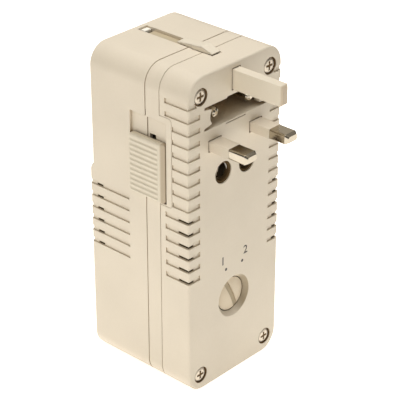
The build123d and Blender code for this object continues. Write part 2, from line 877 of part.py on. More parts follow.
with BuildPart() as uk_pin_sleeves:
    with BuildSketch(face_plane(-flat_pin_sleeve)):
        with Locations(*[(s * pin_spacing / 2, pin_row_height) for s in (-1, 1)]):
            RectangleRounded(flat_pin_width, flat_pin_height, flat_sleeve_edge)
            Rectangle(flat_core_width + 2 * seat_gap, flat_core_height + 2 * seat_gap, mode=Mode.SUBTRACT)
    extrude(amount=-(flat_pin_sleeve + uk_plate_depth))
parts["uk_pin_sleeves"] = uk_pin_sleeves

with BuildPart() as uk_earth_pin:
    with BuildSketch(face_plane(-earth_length)):
        with Locations((0, earth_place)):
            RectangleRounded(earth_width - 2 * earth_chamfer, earth_height - 2 * earth_chamfer, earth_edge)
    with BuildSketch(face_plane(-earth_length + earth_chamfer)):
        with Locations((0, earth_place)):
            RectangleRounded(earth_width, earth_height, earth_edge)
    loft()
    with BuildSketch(face_plane(-earth_length + earth_chamfer)):
        with Locations((0, earth_place)):
            RectangleRounded(earth_width, earth_height, earth_edge)
    extrude(amount=-(earth_length - earth_chamfer + uk_plate_back))
parts["uk_earth_pin"] = uk_earth_pin

# Top lever: a low wedge with its crest near the front, on a neck that stands in the carriage arm
with BuildPart() as top_lever:
    with BuildSketch(side_plane(-lever_half_width)):
        with BuildLine():
            Polyline(
                (at_depth(lever_front), case_height + lever_gap),
                (at_depth(lever_front), case_height + lever_toe_rise),
                (at_depth(lever_peak_depth), case_height + lever_peak_rise),
                (at_depth(lever_back), case_height + lever_heel_rise),
                (at_depth(lever_back), case_height + lever_gap),
                close=True,
            )
        make_face()
    extrude(amount=2 * lever_half_width)
    box_between(
        (-lever_half_width, at_depth(lever_neck_front), uk_top - lever_neck_drop + seat_gap),
        (lever_half_width, at_depth(lever_neck_back), case_height + lever_toe_rise),
    )
    with BuildSketch(side_plane(-lever_wide_half)):
        with BuildLine():
            Polyline(
                (at_depth(lever_front), case_height + lever_gap),
                (at_depth(lever_front), case_height + lever_toe_rise),
                (at_depth(lever_peak_depth), case_height + lever_peak_rise),
                (at_depth(lever_wide_back), case_height + lever_peak_rise
                 - (lever_peak_rise - lever_heel_rise) * (lever_wide_back - lever_peak_depth)
                 / (lever_back - lever_peak_depth)),
                (at_depth(lever_wide_back), case_height + lever_gap),
                close=True,
            )
        make_face()
    extrude(amount=2 * lever_wide_half)
parts["top_lever"] = top_lever

# Carrier of the round pins, a bar with round ends
with BuildPart() as eu_block:
    with BuildSketch(face_plane(carrier_front)):
        with Locations((0, window_height_place)):
            SlotOverall(2 * carrier_half_width, 2 * carrier_radius)
    extrude(amount=-carrier_length)
    with BuildSketch(face_plane(carrier_front)):
        with Locations(*[(s * round_pin_spacing / 2, window_height_place) for s in (-1, 1)]):
            Circle(round_pin_radius + seat_gap)
    extrude(amount=-round_pin_seat, mode=Mode.SUBTRACT)
    box_between(
        (carrier_half_width - side_neck_seat, at_depth(carrier_back - side_neck_length - seat_gap),
         eu_neck_height - side_neck_height / 2 - seat_gap),
        (carrier_half_width + cut_overrun, at_depth(carrier_back + cut_overrun),
         eu_neck_height + side_neck_height / 2 + seat_gap),
        Mode.SUBTRACT,
    )
parts["eu_block"] = eu_block

with BuildPart() as eu_pins:
    tip = at_depth(round_pin_inset)
    for side in (-1, 1):
        centre = side * round_pin_spacing / 2
        with BuildSketch(Plane.XY.offset(window_height_place)):
            with BuildLine():
                Polyline(
                    (centre, tip),
                    (centre + round_pin_tip_flat, tip),
                    (centre + round_pin_tip_middle, tip + round_pin_tip_rise),
                    (centre + round_pin_radius, tip + round_pin_tip_length),
                    (centre + round_pin_radius, at_depth(carrier_front - round_pin_sleeve)),
                    (centre + round_pin_core, at_depth(carrier_front - round_pin_sleeve)),
                    (centre + round_pin_core, at_depth(carrier_front)),
                    (centre + round_pin_radius, at_depth(carrier_front)),
                    (centre + round_pin_radius, at_depth(carrier_front + round_pin_seat - seat_gap)),
                    (centre, at_depth(carrier_front + round_pin_seat - seat_gap)),
                    close=True,
                )
            make_face()
        revolve(axis=Axis((centre, 0, window_height_place), (0, 1, 0)))
parts["eu_pins"] = eu_pins

with BuildPart() as eu_pin_sleeves:
    with BuildSketch(face_plane(carrier_front - round_pin_sleeve)):
        with Locations(*[(s * round_pin_spacing / 2, window_height_place) for s in (-1, 1)]):
            Circle(round_sleeve_radius)
            Circle(round_pin_core + seat_gap, mode=Mode.SUBTRACT)
    extrude(amount=-round_pin_sleeve)
parts["eu_pin_sleeves"] = eu_pin_sleeves


def side_lever(neck_root, neck_back, neck_height):
    """Neck through the slot in the right wall and a ribbed pad outside it."""
    pad_inner = case_width / 2 + running_gap
    with BuildPart() as lever:
        box_between(
            (neck_root, at_depth(neck_back - side_neck_length), neck_height - side_neck_height / 2),
            (pad_inner + side_pad_rise / 2, at_depth(neck_back), neck_height + side_neck_height / 2),
        )
        with BuildSketch(side_plane(pad_inner)):
            with Locations((at_depth(neck_back - side_neck_length / 2), neck_height)):
                RectangleRounded(side_pad_length, side_pad_height, side_pad_edge)
        extrude(amount=side_pad_rise)
        with BuildSketch(side_plane(pad_inner + side_pad_rise - side_pad_rib_depth)):
            middle = (side_pad_rib_count - 1) / 2
            with Locations(*[
                (at_depth(neck_back - side_neck_length / 2) + (i - middle) * side_pad_rib_pitch, neck_height)
                for i in range(side_pad_rib_count)
            ]):
                Rectangle(side_pad_rib_width, side_pad_height - 2 * side_pad_edge)
        extrude(amount=cut_overrun, mode=Mode.SUBTRACT)
    return lever


parts["eu_lever"] = side_lever(carrier_half_width - side_neck_seat + seat_gap, carrier_back, eu_neck_height)

# Contact strips of the round pins, on the ceiling of their guide
with BuildPart() as eu_contacts:
    for side in (-1, 1):
        centre = side * round_pin_spacing / 2
        box_between(
            (centre - eu_contact_width / 2, at_depth(eu_contact_start), window_top - eu_contact_thickness),
            (centre + eu_contact_width / 2, at_depth(eu_contact_start + eu_contact_length), window_top),
        )
parts["eu_contacts"] = eu_contacts

# Dark collar round the blades, in a pocket of the front wall
with BuildPart() as blade_collar:
    with BuildSketch(face_plane(collar_front + seat_gap)):
        with Locations((0, blade_height_place)):
            Rectangle(2 * (collar_half_width - seat_gap), 2 * (collar_half_height - seat_gap))
        with Locations(*[(s * blade_spacing / 2, blade_height_place) for s in (-1, 1)]):
            Circle(math.hypot(blade_width, blade_height) / 2 + collar_hole_gap, mode=Mode.SUBTRACT)
    extrude(amount=-(front_wall - collar_front - 2 * seat_gap))
parts["blade_collar"] = blade_collar

# Carriage of the two blade holders
blade_places = [(s * blade_spacing / 2, blade_height_place) for s in (-1, 1)]
with BuildPart() as us_carriage:
    with BuildSketch(face_plane(us_plate_front)):
        with Locations((0, blade_height_place)):
            Rectangle(2 * us_plate_half_width, 2 * us_plate_half_height)
        with Locations(*blade_places):
            Circle(barrel_shaft_radius + bearing_gap, mode=Mode.SUBTRACT)
    extrude(amount=-us_plate)
    box_between(
        (us_plate_half_width - side_neck_seat, at_depth(us_plate_back - side_neck_length - seat_gap),
         us_neck_height - side_neck_height / 2 - seat_gap),
        (us_plate_half_width + cut_overrun, at_depth(us_plate_back + cut_overrun),
         us_neck_height + side_neck_height / 2 + seat_gap),
        Mode.SUBTRACT,
    )
parts["us_carriage"] = us_carriage


def blade_holder(centre):
    """Round holder: a head that fills the round hole and a shaft that turns in the carriage."""
    with BuildPart() as holder:
        with BuildSketch(face_plane(barrel_place)):
            with Locations((centre, blade_height_place)):
                Circle(barrel_radius)
        extrude(amount=-(barrel_front - bearing_gap))
        with BuildSketch(face_plane(us_plate_front - bearing_gap)):
            with Locations((centre, blade_height_place)):
                Circle(barrel_shaft_radius)
        extrude(amount=-(us_plate + 2 * bearing_gap))
        with BuildSketch(face_plane(barrel_place)):
            with Locations((centre, blade_height_place)):
                Rectangle(blade_width + 2 * seat_gap, blade_height + 2 * seat_gap)
        extrude(amount=-(blade_seat + seat_gap), mode=Mode.SUBTRACT)
        with BuildSketch(face_plane(barrel_place)):
            with Locations((centre, blade_height_place)):
                Circle(blade_tail_radius + seat_gap)
        extrude(amount=-(barrel_front + us_plate + cut_overrun), mode=Mode.SUBTRACT)
    return holder


def blade(centre):
    """Flat blade with eased end edges and a round tail through its holder."""
    with BuildPart() as strip:
        with BuildSketch(face_plane(blade_inset)):
            with Locations((centre, blade_height_place)):
                Rectangle(blade_width, blade_height)
        extrude(amount=-(blade_length + blade_seat))
        chamfer(strip.faces().sort_by(Axis.Y)[0].outer_wire().edges(), blade_edge)
        with BuildSketch(face_plane(barrel_place + blade_seat)):
            with Locations((centre, blade_height_place)):
                Circle(blade_tail_radius)
        extrude(amount=-(barrel_front + us_plate - blade_seat + blade_tail))
    return strip


parts["us_left_barrel"] = blade_holder(-blade_spacing / 2)
parts["us_right_barrel"] = blade_holder(blade_spacing / 2)
parts["us_left_blade"] = blade(-blade_spacing / 2)
parts["us_right_blade"] = blade(blade_spacing / 2)

# Contact plates on the back of the carriage, round the tails of the blades
with BuildPart() as us_contact_plates:
    with BuildSketch(face_plane(us_plate_back + running_gap)):
        with Locations(*blade_places):
            Rectangle(2 * contact_plate_half_width, 2 * contact_plate_half_height)
            Circle(blade_tail_radius + bearing_gap, mode=Mode.SUBTRACT)
    extrude(amount=-contact_plate)
parts["us_contact_plates"] = us_contact_plates

parts["us_lever"] = side_lever(us_plate_half_width - side_neck_seat + seat_gap, us_plate_back, us_neck_height)

# Contact rails under the tails of the flat pins
with BuildPart() as uk_contacts:
    for side in (-1, 1):
        centre = side * pin_spacing / 2
        box_between(
            (centre - rail_half_width, at_depth(rail_start), rail_top - rail_height),
            (centre + rail_half_width, at_depth(upper_inner_depth - seat_gap), rail_top),
        )
parts["uk_contacts"] = uk_contacts

# Thumb slide on the left side
with BuildPart() as side_slide:
    plate_front = recess_front + running_gap
    plate_back = recess_back - running_gap
    plate_inner = recess_floor - running_gap
    plate_outer = -case_width / 2 - slide_rise
    with BuildSketch(side_plane(plate_inner)):
        with Locations((at_depth((plate_front + plate_back) / 2), slide_bottom + slide_length / 2)):
            RectangleRounded(plate_back - plate_front, slide_length, slide_corner)
    extrude(amount=plate_outer - plate_inner)
    fillet(side_slide.faces().sort_by(Axis.X)[0].outer_wire().edges(), slide_edge)
    # Sloping front border
    with BuildSketch(Plane.XY.offset(slide_bottom)):
        Polygon(
            (plate_outer - cut_overrun, at_depth(plate_front + slide_bevel_reach)),
            (plate_outer, at_depth(plate_front + slide_bevel_reach)),
            (plate_outer + slide_bevel_drop, at_depth(plate_front)),
            (plate_outer - cut_overrun, at_depth(plate_front)),
            align=None,
        )
    extrude(amount=slide_length, mode=Mode.SUBTRACT)
    # Shallow scalloped grooves
    scallop_radius = (slide_groove_height**2 / 4 + slide_groove_depth**2) / (2 * slide_groove_depth)
    with BuildSketch(face_plane(plate_front + slide_groove_front)):
        with Locations(*[
            (plate_outer + slide_groove_depth - scallop_radius,
             slide_bottom + slide_groove_bottom + (i + 0.5) * slide_groove_pitch)
            for i in range(slide_groove_count)
        ]):
            Circle(scallop_radius)
    extrude(amount=-(plate_back - plate_front), mode=Mode.SUBTRACT)
    box_between(
        (plate_inner, at_depth(stem_front), stem_bottom),
        (-lip_inner_side + running_gap, at_depth(stem_back), stem_bottom + stem_length),
    )
parts["side_slide"] = side_slide

with BuildPart() as slide_keeper:
    box_between(
        (-lip_inner_side + running_gap, at_depth(keeper_front), keeper_bottom),
        (-lip_inner_side + running_gap + keeper_thickness, at_depth(keeper_back),
         keeper_bottom + keeper_length),
    )
parts["slide_keeper"] = slide_keeper

# Selector knob with a domed face and a coin slot, turned to its first mark
with BuildPart() as selector_knob:
    dome_place = knob_depth - knob_dome_rise
    dome_radius = (knob_radius**2 + knob_dome_rise**2) / (2 * knob_dome_rise)
    with BuildSketch(face_plane(dome_place)):
        with Locations((0, selector_height)):
            Circle(knob_radius)
    extrude(amount=-(knob_dome_rise + knob_thickness))
    with Locations((0, at_depth(dome_place) + dome_radius, selector_height)):
        Sphere(dome_radius, mode=Mode.INTERSECT)
    with BuildSketch(face_plane(knob_depth + knob_thickness)):
        with Locations((0, selector_height)):
            Circle(knob_shaft_radius)
    extrude(amount=-knob_shaft_length)
    with BuildSketch(face_plane(dome_place)):
        with Locations(Location((0, selector_height), -knob_rest_angle)):
            Rectangle(coin_slot_width, 2 * (knob_radius + cut_overrun))
    extrude(amount=-coin_slot_depth, mode=Mode.SUBTRACT)
parts["selector_knob"] = selector_knob

switch_front = knob_depth + knob_thickness + running_gap
with BuildPart() as switch_housing:
    with BuildSketch(face_plane(switch_front)):
        with Locations((0, selector_height)):
            Rectangle(2 * switch_half_width, 2 * switch_half_height)
    extrude(amount=-switch_length)
    with BuildSketch(face_plane(switch_front)):
        with Locations((0, selector_height)):
            Circle(rotor_radius + rotor_lobe + running_gap)
    extrude(amount=-(switch_length - switch_floor), mode=Mode.SUBTRACT)
    with BuildSketch(face_plane(switch_front)):
        with Locations((0, selector_height)):
            Circle(knob_shaft_radius + bearing_gap)
    extrude(amount=-knob_shaft_length, mode=Mode.SUBTRACT)
parts["switch_housing"] = switch_housing

with BuildPart() as switch_rotor:
    with BuildSketch(face_plane(switch_front + running_gap)):
        with Locations((0, selector_height)):
            Circle(rotor_radius)
        with Locations((0, selector_height + rotor_radius)):
            Circle(rotor_lobe)
        with Locations((0, selector_height)):
            Circle(knob_shaft_radius + seat_gap, mode=Mode.SUBTRACT)
    extrude(amount=-rotor_thickness)
parts["switch_rotor"] = switch_rotor

with BuildPart() as switch_contacts:
    terminal_start = switch_front + switch_length
    terminal_length = board_front - terminal_start
    middle = (terminal_count - 1) / 2
    with BuildSketch(face_plane(terminal_start)):
        with Locations(*[((i - middle) * terminal_pitch, selector_height) for i in range(terminal_count)]):
            Rectangle(terminal_thickness, terminal_width)
    extrude(amount=-terminal_length)
parts["switch_contacts"] = switch_contacts

# Transformer core with its two winding windows
core_middle = core_bottom + core_height / 2
window_width = core_half_width - core_limb - core_centre_half
with BuildPart() as transformer_core:
    with BuildSketch(face_plane(core_front)):
        with Locations((0, core_middle)):
            Rectangle(2 * core_half_width, core_height)
        with Locations(*[(s * (core_centre_half + window_width / 2), core_middle) for s in (-1, 1)]):
            Rectangle(window_width, core_height - 2 * core_yoke, mode=Mode.SUBTRACT)
        with Locations(*core_screws):
            Circle(core_screw_radius + seat_gap, mode=Mode.SUBTRACT)
    extrude(amount=-core_stack)
parts["transformer_core"] = transformer_core

coil_y = at_depth(core_front + core_stack / 2)
limb_x = 2 * core_centre_half
limb_y = core_stack


def coil_layer(bottom, height, inner, outer):
    """Rounded ring round the middle limb between two distances from it."""
    with BuildPart() as layer:
        with BuildSketch(Plane.XY.offset(bottom)):
            with Locations((0, coil_y)):
                RectangleRounded(limb_x + 2 * outer, limb_y + 2 * outer, outer)
                RectangleRounded(limb_x + 2 * inner, limb_y + 2 * inner, inner, mode=Mode.SUBTRACT)
        extrude(amount=height)
    return layer


coil_bottom = core_bottom + core_yoke + seat_gap
coil_height = core_height - 2 * core_yoke - 2 * seat_gap
wind_bottom = coil_bottom + bobbin_flange + winding_gap
wind_height = coil_height - 2 * bobbin_flange - 2 * winding_gap
tube_outer = winding_gap + bobbin_wall
tape_outer = window_width - winding_side_gap
tape_inner = tape_outer - tape_thickness
secondary_outer = tape_inner - winding_gap / 2
primary_inner = tube_outer + winding_gap
winding_build = secondary_outer - primary_inner - winding_gap
primary_outer = primary_inner + winding_build * primary_share
secondary_inner = primary_outer + winding_gap
with BuildPart() as transformer_bobbin:
    with BuildSketch(Plane.XY.offset(coil_bottom)):
        with Locations((0, coil_y)):
            RectangleRounded(limb_x + 2 * tube_outer, limb_y + 2 * tube_outer, tube_outer)
    extrude(amount=coil_height)
    for level in (coil_bottom, coil_bottom + coil_height - bobbin_flange):
        with BuildSketch(Plane.XY.offset(level)):
            with Locations((0, coil_y)):
                RectangleRounded(limb_x + 2 * tape_outer, limb_y + 2 * tape_outer, tape_outer)
        extrude(amount=bobbin_flange)
    with BuildSketch(Plane.XY.offset(coil_bottom)):
        with Locations((0, coil_y)):
            Rectangle(limb_x + 2 * winding_gap, limb_y + 2 * winding_gap)
    extrude(amount=coil_height, mode=Mode.SUBTRACT)
parts["transformer_bobbin"] = transformer_bobbin
parts["primary_winding"] = coil_layer(wind_bottom, wind_height, primary_inner, primary_outer)
parts["secondary_winding"] = coil_layer(wind_bottom, wind_height, secondary_inner, secondary_outer)
parts["winding_tape"] = coil_layer(wind_bottom, wind_height, tape_inner, tape_outer)

with BuildPart() as transformer_screws:
    with BuildSketch(face_plane(core_front - core_screw_head)):
        with Locations(*core_screws):
            Circle(core_screw_head_radius)
    extrude(amount=-core_screw_head)
    with BuildSketch(face_plane(core_front)):
        with Locations(*core_screws):
            Circle(core_screw_radius)
    extrude(amount=-(core_stack + core_screw_tip))
parts["transformer_screws"] = transformer_screws

with BuildPart() as thermal_fuse:
    fuse_y = coil_y - limb_y / 2 - tape_outer - fuse_radius - seat_gap
    with BuildSketch(side_plane(-fuse_length / 2)):
        with Locations((fuse_y, core_middle)):
            Circle(fuse_radius)
    extrude(amount=fuse_length)
parts["thermal_fuse"] = thermal_fuse

# Terminal board between the switch and the output socket
with BuildPart() as circuit_board:
    box_between(
        (-board_half_width, at_depth(board_front), board_bottom),
        (board_half_width, at_depth(board_front + board_thickness), board_bottom + board_height),
    )
parts["circuit_board"] = circuit_board

# Output socket in the lower back
socket_face = case_depth - socket_recess
socket_front = socket_face - socket_depth
socket_middle = socket_bottom + socket_height / 2
with BuildPart() as socket_insert:
    with BuildSketch(face_plane(socket_front)):
        with Locations((0, socket_middle)):
            RectangleRounded(2 * socket_half_width, socket_height, socket_corner)
    extrude(amount=-socket_depth)
    with BuildSketch(face_plane(lower_inner_depth - socket_flange - seat_gap)):
        with Locations((0, socket_middle)):
            RectangleRounded(2 * (socket_half_width + socket_flange_width),
                             socket_height + 2 * socket_flange_width, socket_corner)
    extrude(amount=-socket_flange)
    with BuildSketch(face_plane(socket_front + socket_floor)):
        with Locations(*[(s * round_pin_spacing / 2, socket_middle + round_hole_rise) for s in (-1, 1)]):
            Circle(round_hole_radius)
        with Locations(*[(s * flat_slot_spacing / 2, socket_middle - flat_slot_drop) for s in (-1, 1)]):
            Rectangle(flat_slot_width, flat_slot_height)
    extrude(amount=-socket_depth, mode=Mode.SUBTRACT)
parts["socket_insert"] = socket_insert

with BuildPart() as socket_contacts:
    for side in (-1, 1):
        centre = side * (round_pin_spacing / 2 + flat_slot_spacing / 2) / 2
        box_between(
            (centre - clip_half_width, at_depth(socket_front - clip_thickness),
             socket_middle - clip_half_height),
            (centre + clip_half_width, at_depth(socket_front), socket_middle + clip_half_height),
        )
parts["socket_contacts"] = socket_contacts

os.makedirs("parts", exist_ok=True)
for name, piece in parts.items():
    piece.part.label = name
    export_step(piece.part, f"parts/{name}.step")
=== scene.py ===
import math

import bmesh
import bpy
from mathutils import Matrix, Vector


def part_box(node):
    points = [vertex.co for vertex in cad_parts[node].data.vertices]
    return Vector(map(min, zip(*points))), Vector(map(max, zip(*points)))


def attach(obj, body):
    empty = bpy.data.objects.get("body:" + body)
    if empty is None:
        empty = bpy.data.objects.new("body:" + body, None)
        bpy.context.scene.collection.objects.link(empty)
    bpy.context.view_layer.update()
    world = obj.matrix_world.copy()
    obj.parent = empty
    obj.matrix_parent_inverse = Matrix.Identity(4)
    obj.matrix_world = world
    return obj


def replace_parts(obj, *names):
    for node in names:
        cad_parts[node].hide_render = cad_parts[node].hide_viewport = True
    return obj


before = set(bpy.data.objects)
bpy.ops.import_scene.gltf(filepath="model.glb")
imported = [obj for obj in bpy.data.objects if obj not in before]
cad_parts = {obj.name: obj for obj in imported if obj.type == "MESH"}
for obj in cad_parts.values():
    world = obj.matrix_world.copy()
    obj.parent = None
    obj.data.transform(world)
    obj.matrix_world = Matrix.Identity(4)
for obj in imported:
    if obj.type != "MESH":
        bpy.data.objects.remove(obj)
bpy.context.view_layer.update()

MM = 0.001

# Camera, matched to the photograph through the standard pins
CAMERA_PLACE = (-402.5 * MM, -377.3 * MM, 363.5 * MM)
CAMERA_TURN = math.radians(47.452)
CAMERA_TILT = math.radians(28.335)
CAMERA_LENS = 147.52
CAMERA_NEAR = 0.01
CAMERA_FAR = 20
SENSOR_WIDTH = 36.0

# Floor
FLOOR_SIZE = 6.0
FLOOR_COLOUR = (0.80, 0.80, 0.79)
FLOOR_DRIFT_SIZE = 0.4
FLOOR_MOTTLE = 0.005
FLOOR_ROUGHNESS = 0.9
FLOOR_SHINE = 0.1
FLOOR_GLOW = 0.90
GLOW_NEAR = 0.20
GLOW_FAR = 0.55
GLOW_FAR_SHARE = 0.35
GLOW_COLOUR = (1.0, 0.955, 0.905)

# Light
WORLD_COLOUR = (1.0, 0.95, 0.88)
WORLD_LOW = 0.08
WORLD_HIGH = 0.42
WORLD_LOW_SINE = 0.46
WORLD_HIGH_SINE = 0.82
AIM = Vector((0, 0, 65 * MM))
LIGHTS = (
    # name, place, width, power, colour
    ("key_light", (-0.88, -0.16, 0.80), 0.70, 4.15, (1.0, 0.975, 0.955)),
    ("top_light", (0.20, 0.08, 1.25), 0.80, 10.1, (1.0, 0.99, 0.995)),
    ("back_glow", (0.77, 0.72, 0.67), 0.60, 0.42, (1.0, 0.92, 0.80)),
)

# Places on the case and the selector, read from the frame
COVER_LOW, COVER_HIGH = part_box("front_cover")
FACE_Y = COVER_LOW[1]
HALF_WIDTH = COVER_HIGH[0]
COVER_TOP = COVER_HIGH[2]
BACK_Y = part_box("rear_housing")[1][1]
KNOB_LOW, KNOB_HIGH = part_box("selector_knob")
KNOB_HEIGHT = (KNOB_LOW[2] + KNOB_HIGH[2]) / 2

# Sockets of a colour mix node, which share their names with the sockets for other kinds of data
MIX_FIRST = 6
MIX_SECOND = 7
MIX_RESULT = 2

# The part of its range in which most of a noise lies
NOISE_LOW = 0.3
NOISE_HIGH = 0.7

# Values shared by the finishes
FINE_DETAIL = 4.0
COARSE_DETAIL = 2.0
FINE_ROUGHNESS = 0.6
OCCLUSION_SAMPLES = 8
EDGE_SAMPLES = 4
DRIFT_SIZE = 28 * MM
SPECK_SIZE = 0.9 * MM
SPECK_TONE = (0.985, 0.98, 0.975, 1)
WHITE = (1, 1, 1, 1)
WEAR_SIZE = 9 * MM
WEAR_LOW = -0.05
WEAR_HIGH = 0.06
METAL_DRIFT_SIZE = 6 * MM
METAL_WEAR_LOW = -0.06
METAL_WEAR_HIGH = 0.08
LEAST_ROUGHNESS = 0.05

# How far painted shade reaches in seams and, warmer, in hollows, and its tones from closed in to open
SEAM_REACH = 0.7 * MM
SEAM_SHADE_TONES = (
    (0.15, (0.42, 0.34, 0.25, 1)),
    (0.75, WHITE),
)
HOLLOW_REACH = 14 * MM
HOLLOW_SHADE_TONES = (
    (0.0, (0.30, 0.21, 0.13, 1)),
    (0.14, (0.68, 0.55, 0.40, 1)),
    (0.42, WHITE),
)

# Painted shade in the conical recess round the selector: radii where the shade is full and where it ends, the
# plane that the recess lies behind, and the places on X between which the shade deepens towards the right
# side
KNOB_CENTRE = (0.0, 0.0, KNOB_HEIGHT)
RECESS_SHADE_TONE = (0.52, 0.475, 0.40)
RECESS_FULL = 8.55 * MM
RECESS_EDGE = 8.75 * MM
RECESS_FRONT = FACE_Y + 0.06 * MM
RECESS_PALEST = 1.0 * MM
RECESS_DEEPEST = 6.5 * MM


def new_material(name):
    """New node material with its node tree and its shader."""
    made = bpy.data.materials.new(name)
    made.use_nodes = True
    tree = made.node_tree
    shader = tree.nodes["Principled BSDF"]
    return made, tree, shader


def noise(tree, coords, size, detail=3.0, roughness=0.5, stretch=None):
    """Value of a noise whose features are about that size in metres."""
    texture = tree.nodes.new("ShaderNodeTexNoise")
    texture.inputs["Scale"].default_value = 1 / size
    texture.inputs["Detail"].default_value = detail
    texture.inputs["Roughness"].default_value = roughness
    source = coords.outputs["Object"]
    if stretch:
        mapping = tree.nodes.new("ShaderNodeMapping")
        mapping.inputs["Scale"].default_value = stretch
        tree.links.new(source, mapping.inputs["Vector"])
        source = mapping.outputs["Vector"]
    tree.links.new(source, texture.inputs["Vector"])
    return texture.outputs["Fac"]


def ranged(tree, source, start, end, low=0.0, high=1.0, smooth=False):
    """Maps a value that runs from start to end onto the range from low to high."""
    mapped = tree.nodes.new("ShaderNodeMapRange")
    if smooth:
        mapped.interpolation_type = "SMOOTHSTEP"
    mapped.inputs["From Min"].default_value = start
    mapped.inputs["From Max"].default_value = end
    mapped.inputs["To Min"].default_value = low
    mapped.inputs["To Max"].default_value = high
    tree.links.new(source, mapped.inputs["Value"])
    return mapped.outputs["Result"]


def product(tree, first, second):
    """Product of two values."""
    made = tree.nodes.new("ShaderNodeMath")
    made.operation = "MULTIPLY"
    tree.links.new(first, made.inputs[0])
    tree.links.new(second, made.inputs[1])
    return made.outputs["Value"]


def length(tree, vector):
    """Length of a vector."""
    made = tree.nodes.new("ShaderNodeVectorMath")
    made.operation = "LENGTH"
    tree.links.new(vector, made.inputs[0])
    return made.outputs["Value"]


def axis_values(tree, vector):
    """Parts of a vector along X, Y and Z."""
    parts = tree.nodes.new("ShaderNodeSeparateXYZ")
    tree.links.new(vector, parts.inputs["Vector"])
    return parts.outputs


def tint(colour, share):
    """Colour made darker or lighter by a share, as an opaque colour."""
    return tuple(min(1.0, part * share) for part in colour) + (1.0,)


def ramp(tree, source, stops):
    """Colour that a value picks between stops, each a place and a colour."""
    made = tree.nodes.new("ShaderNodeValToRGB")
    elements = made.color_ramp.elements
    for i in (0, -1):
        elements[i].position = stops[i][0]
        elements[i].color = stops[i][1]
    for place, colour in stops[1:-1]:
        elements.new(place).color = colour
    tree.links.new(source, made.inputs["Fac"])
    return made.outputs["Color"]


def mottled(tree, source, colour, mottle):
    """Colour that wanders a little darker and lighter with a noise."""
    return ramp(tree, source, ((NOISE_LOW, tint(colour, 1 - mottle)), (NOISE_HIGH, tint(colour, 1 + mottle))))


def multiplier(tree, colour):
    """Mix node that multiplies a colour by its second colour."""
    mix = tree.nodes.new("ShaderNodeMix")
    mix.data_type = "RGBA"
    mix.blend_type = "MULTIPLY"
    tree.links.new(colour, mix.inputs[MIX_FIRST])
    return mix


def multiply(tree, first, second, share=1.0):
    """Multiplies a colour by another, as far as a fixed share says."""
    mix = multiplier(tree, first)
    mix.inputs["Factor"].default_value = share
    tree.links.new(second, mix.inputs[MIX_SECOND])
    return mix.outputs[MIX_RESULT]


def blend_tone(tree, colour, tone, share):
    """Multiplies a colour by a tone where the share, which varies over the surface, is one."""
    mix = multiplier(tree, colour)
    mix.inputs[MIX_SECOND].default_value = tone + (1.0,)
    tree.links.new(share, mix.inputs["Factor"])
    return mix.outputs[MIX_RESULT]


def closed_in_shade(tree, colour, reach, tones, strength):
    """Paints shade where other faces lie within reach: darker in seams, darker and warmer in hollows."""
    hollow = tree.nodes.new("ShaderNodeAmbientOcclusion")
    hollow.samples = OCCLUSION_SAMPLES
    hollow.inputs["Distance"].default_value = reach
    return multiply(tree, colour, ramp(tree, hollow.outputs["AO"], tones), strength)


def surface_bump(tree, coords, shader, size, depth, edge=0.0, stretch=None):
    """Fine relief, over edges eased by a small radius."""
    bump = tree.nodes.new("ShaderNodeBump")
    bump.inputs["Distance"].default_value = depth
    bump.inputs["Strength"].default_value = 1.0
    tree.links.new(noise(tree, coords, size, FINE_DETAIL, FINE_ROUGHNESS, stretch), bump.inputs["Height"])
    if edge:
        eased = tree.nodes.new("ShaderNodeBevel")
        eased.samples = EDGE_SAMPLES
        eased.inputs["Radius"].default_value = edge
        tree.links.new(eased.outputs["Normal"], bump.inputs["Normal"])
    tree.links.new(bump.outputs["Normal"], shader.inputs["Normal"])


def zone(tree, coords, colour, tone, limits):
    """Paints shade: deepens the tone inside a soft-edged block given by limits along the axes of the object.
    """
    places = axis_values(tree, coords.outputs["Object"])
    inside = None
    for axis, start, full, full_end, end in limits:
        rise = ranged(tree, places[axis], start, full, smooth=True)
        fall = ranged(tree, places[axis], end, full_end, smooth=True)
        both = product(tree, rise, fall)
        inside = both if inside is None else product(tree, inside, both)
    return blend_tone(tree, colour, tone, inside)


def recess_shade_zone(tree, coords, colour):
    """Paints shade on the conical recess round the selector, on its right side."""
    away = tree.nodes.new("ShaderNodeVectorMath")
    away.operation = "SUBTRACT"
    away.inputs[1].default_value = KNOB_CENTRE
    tree.links.new(coords.outputs["Object"], away.inputs[0])
    flat = tree.nodes.new("ShaderNodeVectorMath")
    flat.operation = "MULTIPLY"
    flat.inputs[1].default_value = (1.0, 0.0, 1.0)
    tree.links.new(away.outputs["Vector"], flat.inputs[0])
    near = ranged(tree, length(tree, flat.outputs["Vector"]), RECESS_EDGE, RECESS_FULL)
    places = axis_values(tree, coords.outputs["Object"])
    deep = tree.nodes.new("ShaderNodeMath")
    deep.operation = "GREATER_THAN"
    deep.inputs[1].default_value = RECESS_FRONT
    tree.links.new(places["Y"], deep.inputs[0])
    rightward = ranged(tree, places["X"], RECESS_PALEST, RECESS_DEEPEST, smooth=True)
    share = product(tree, near, product(tree, rightward, deep.outputs["Value"]))
    return blend_tone(tree, colour, RECESS_SHADE_TONE, share)


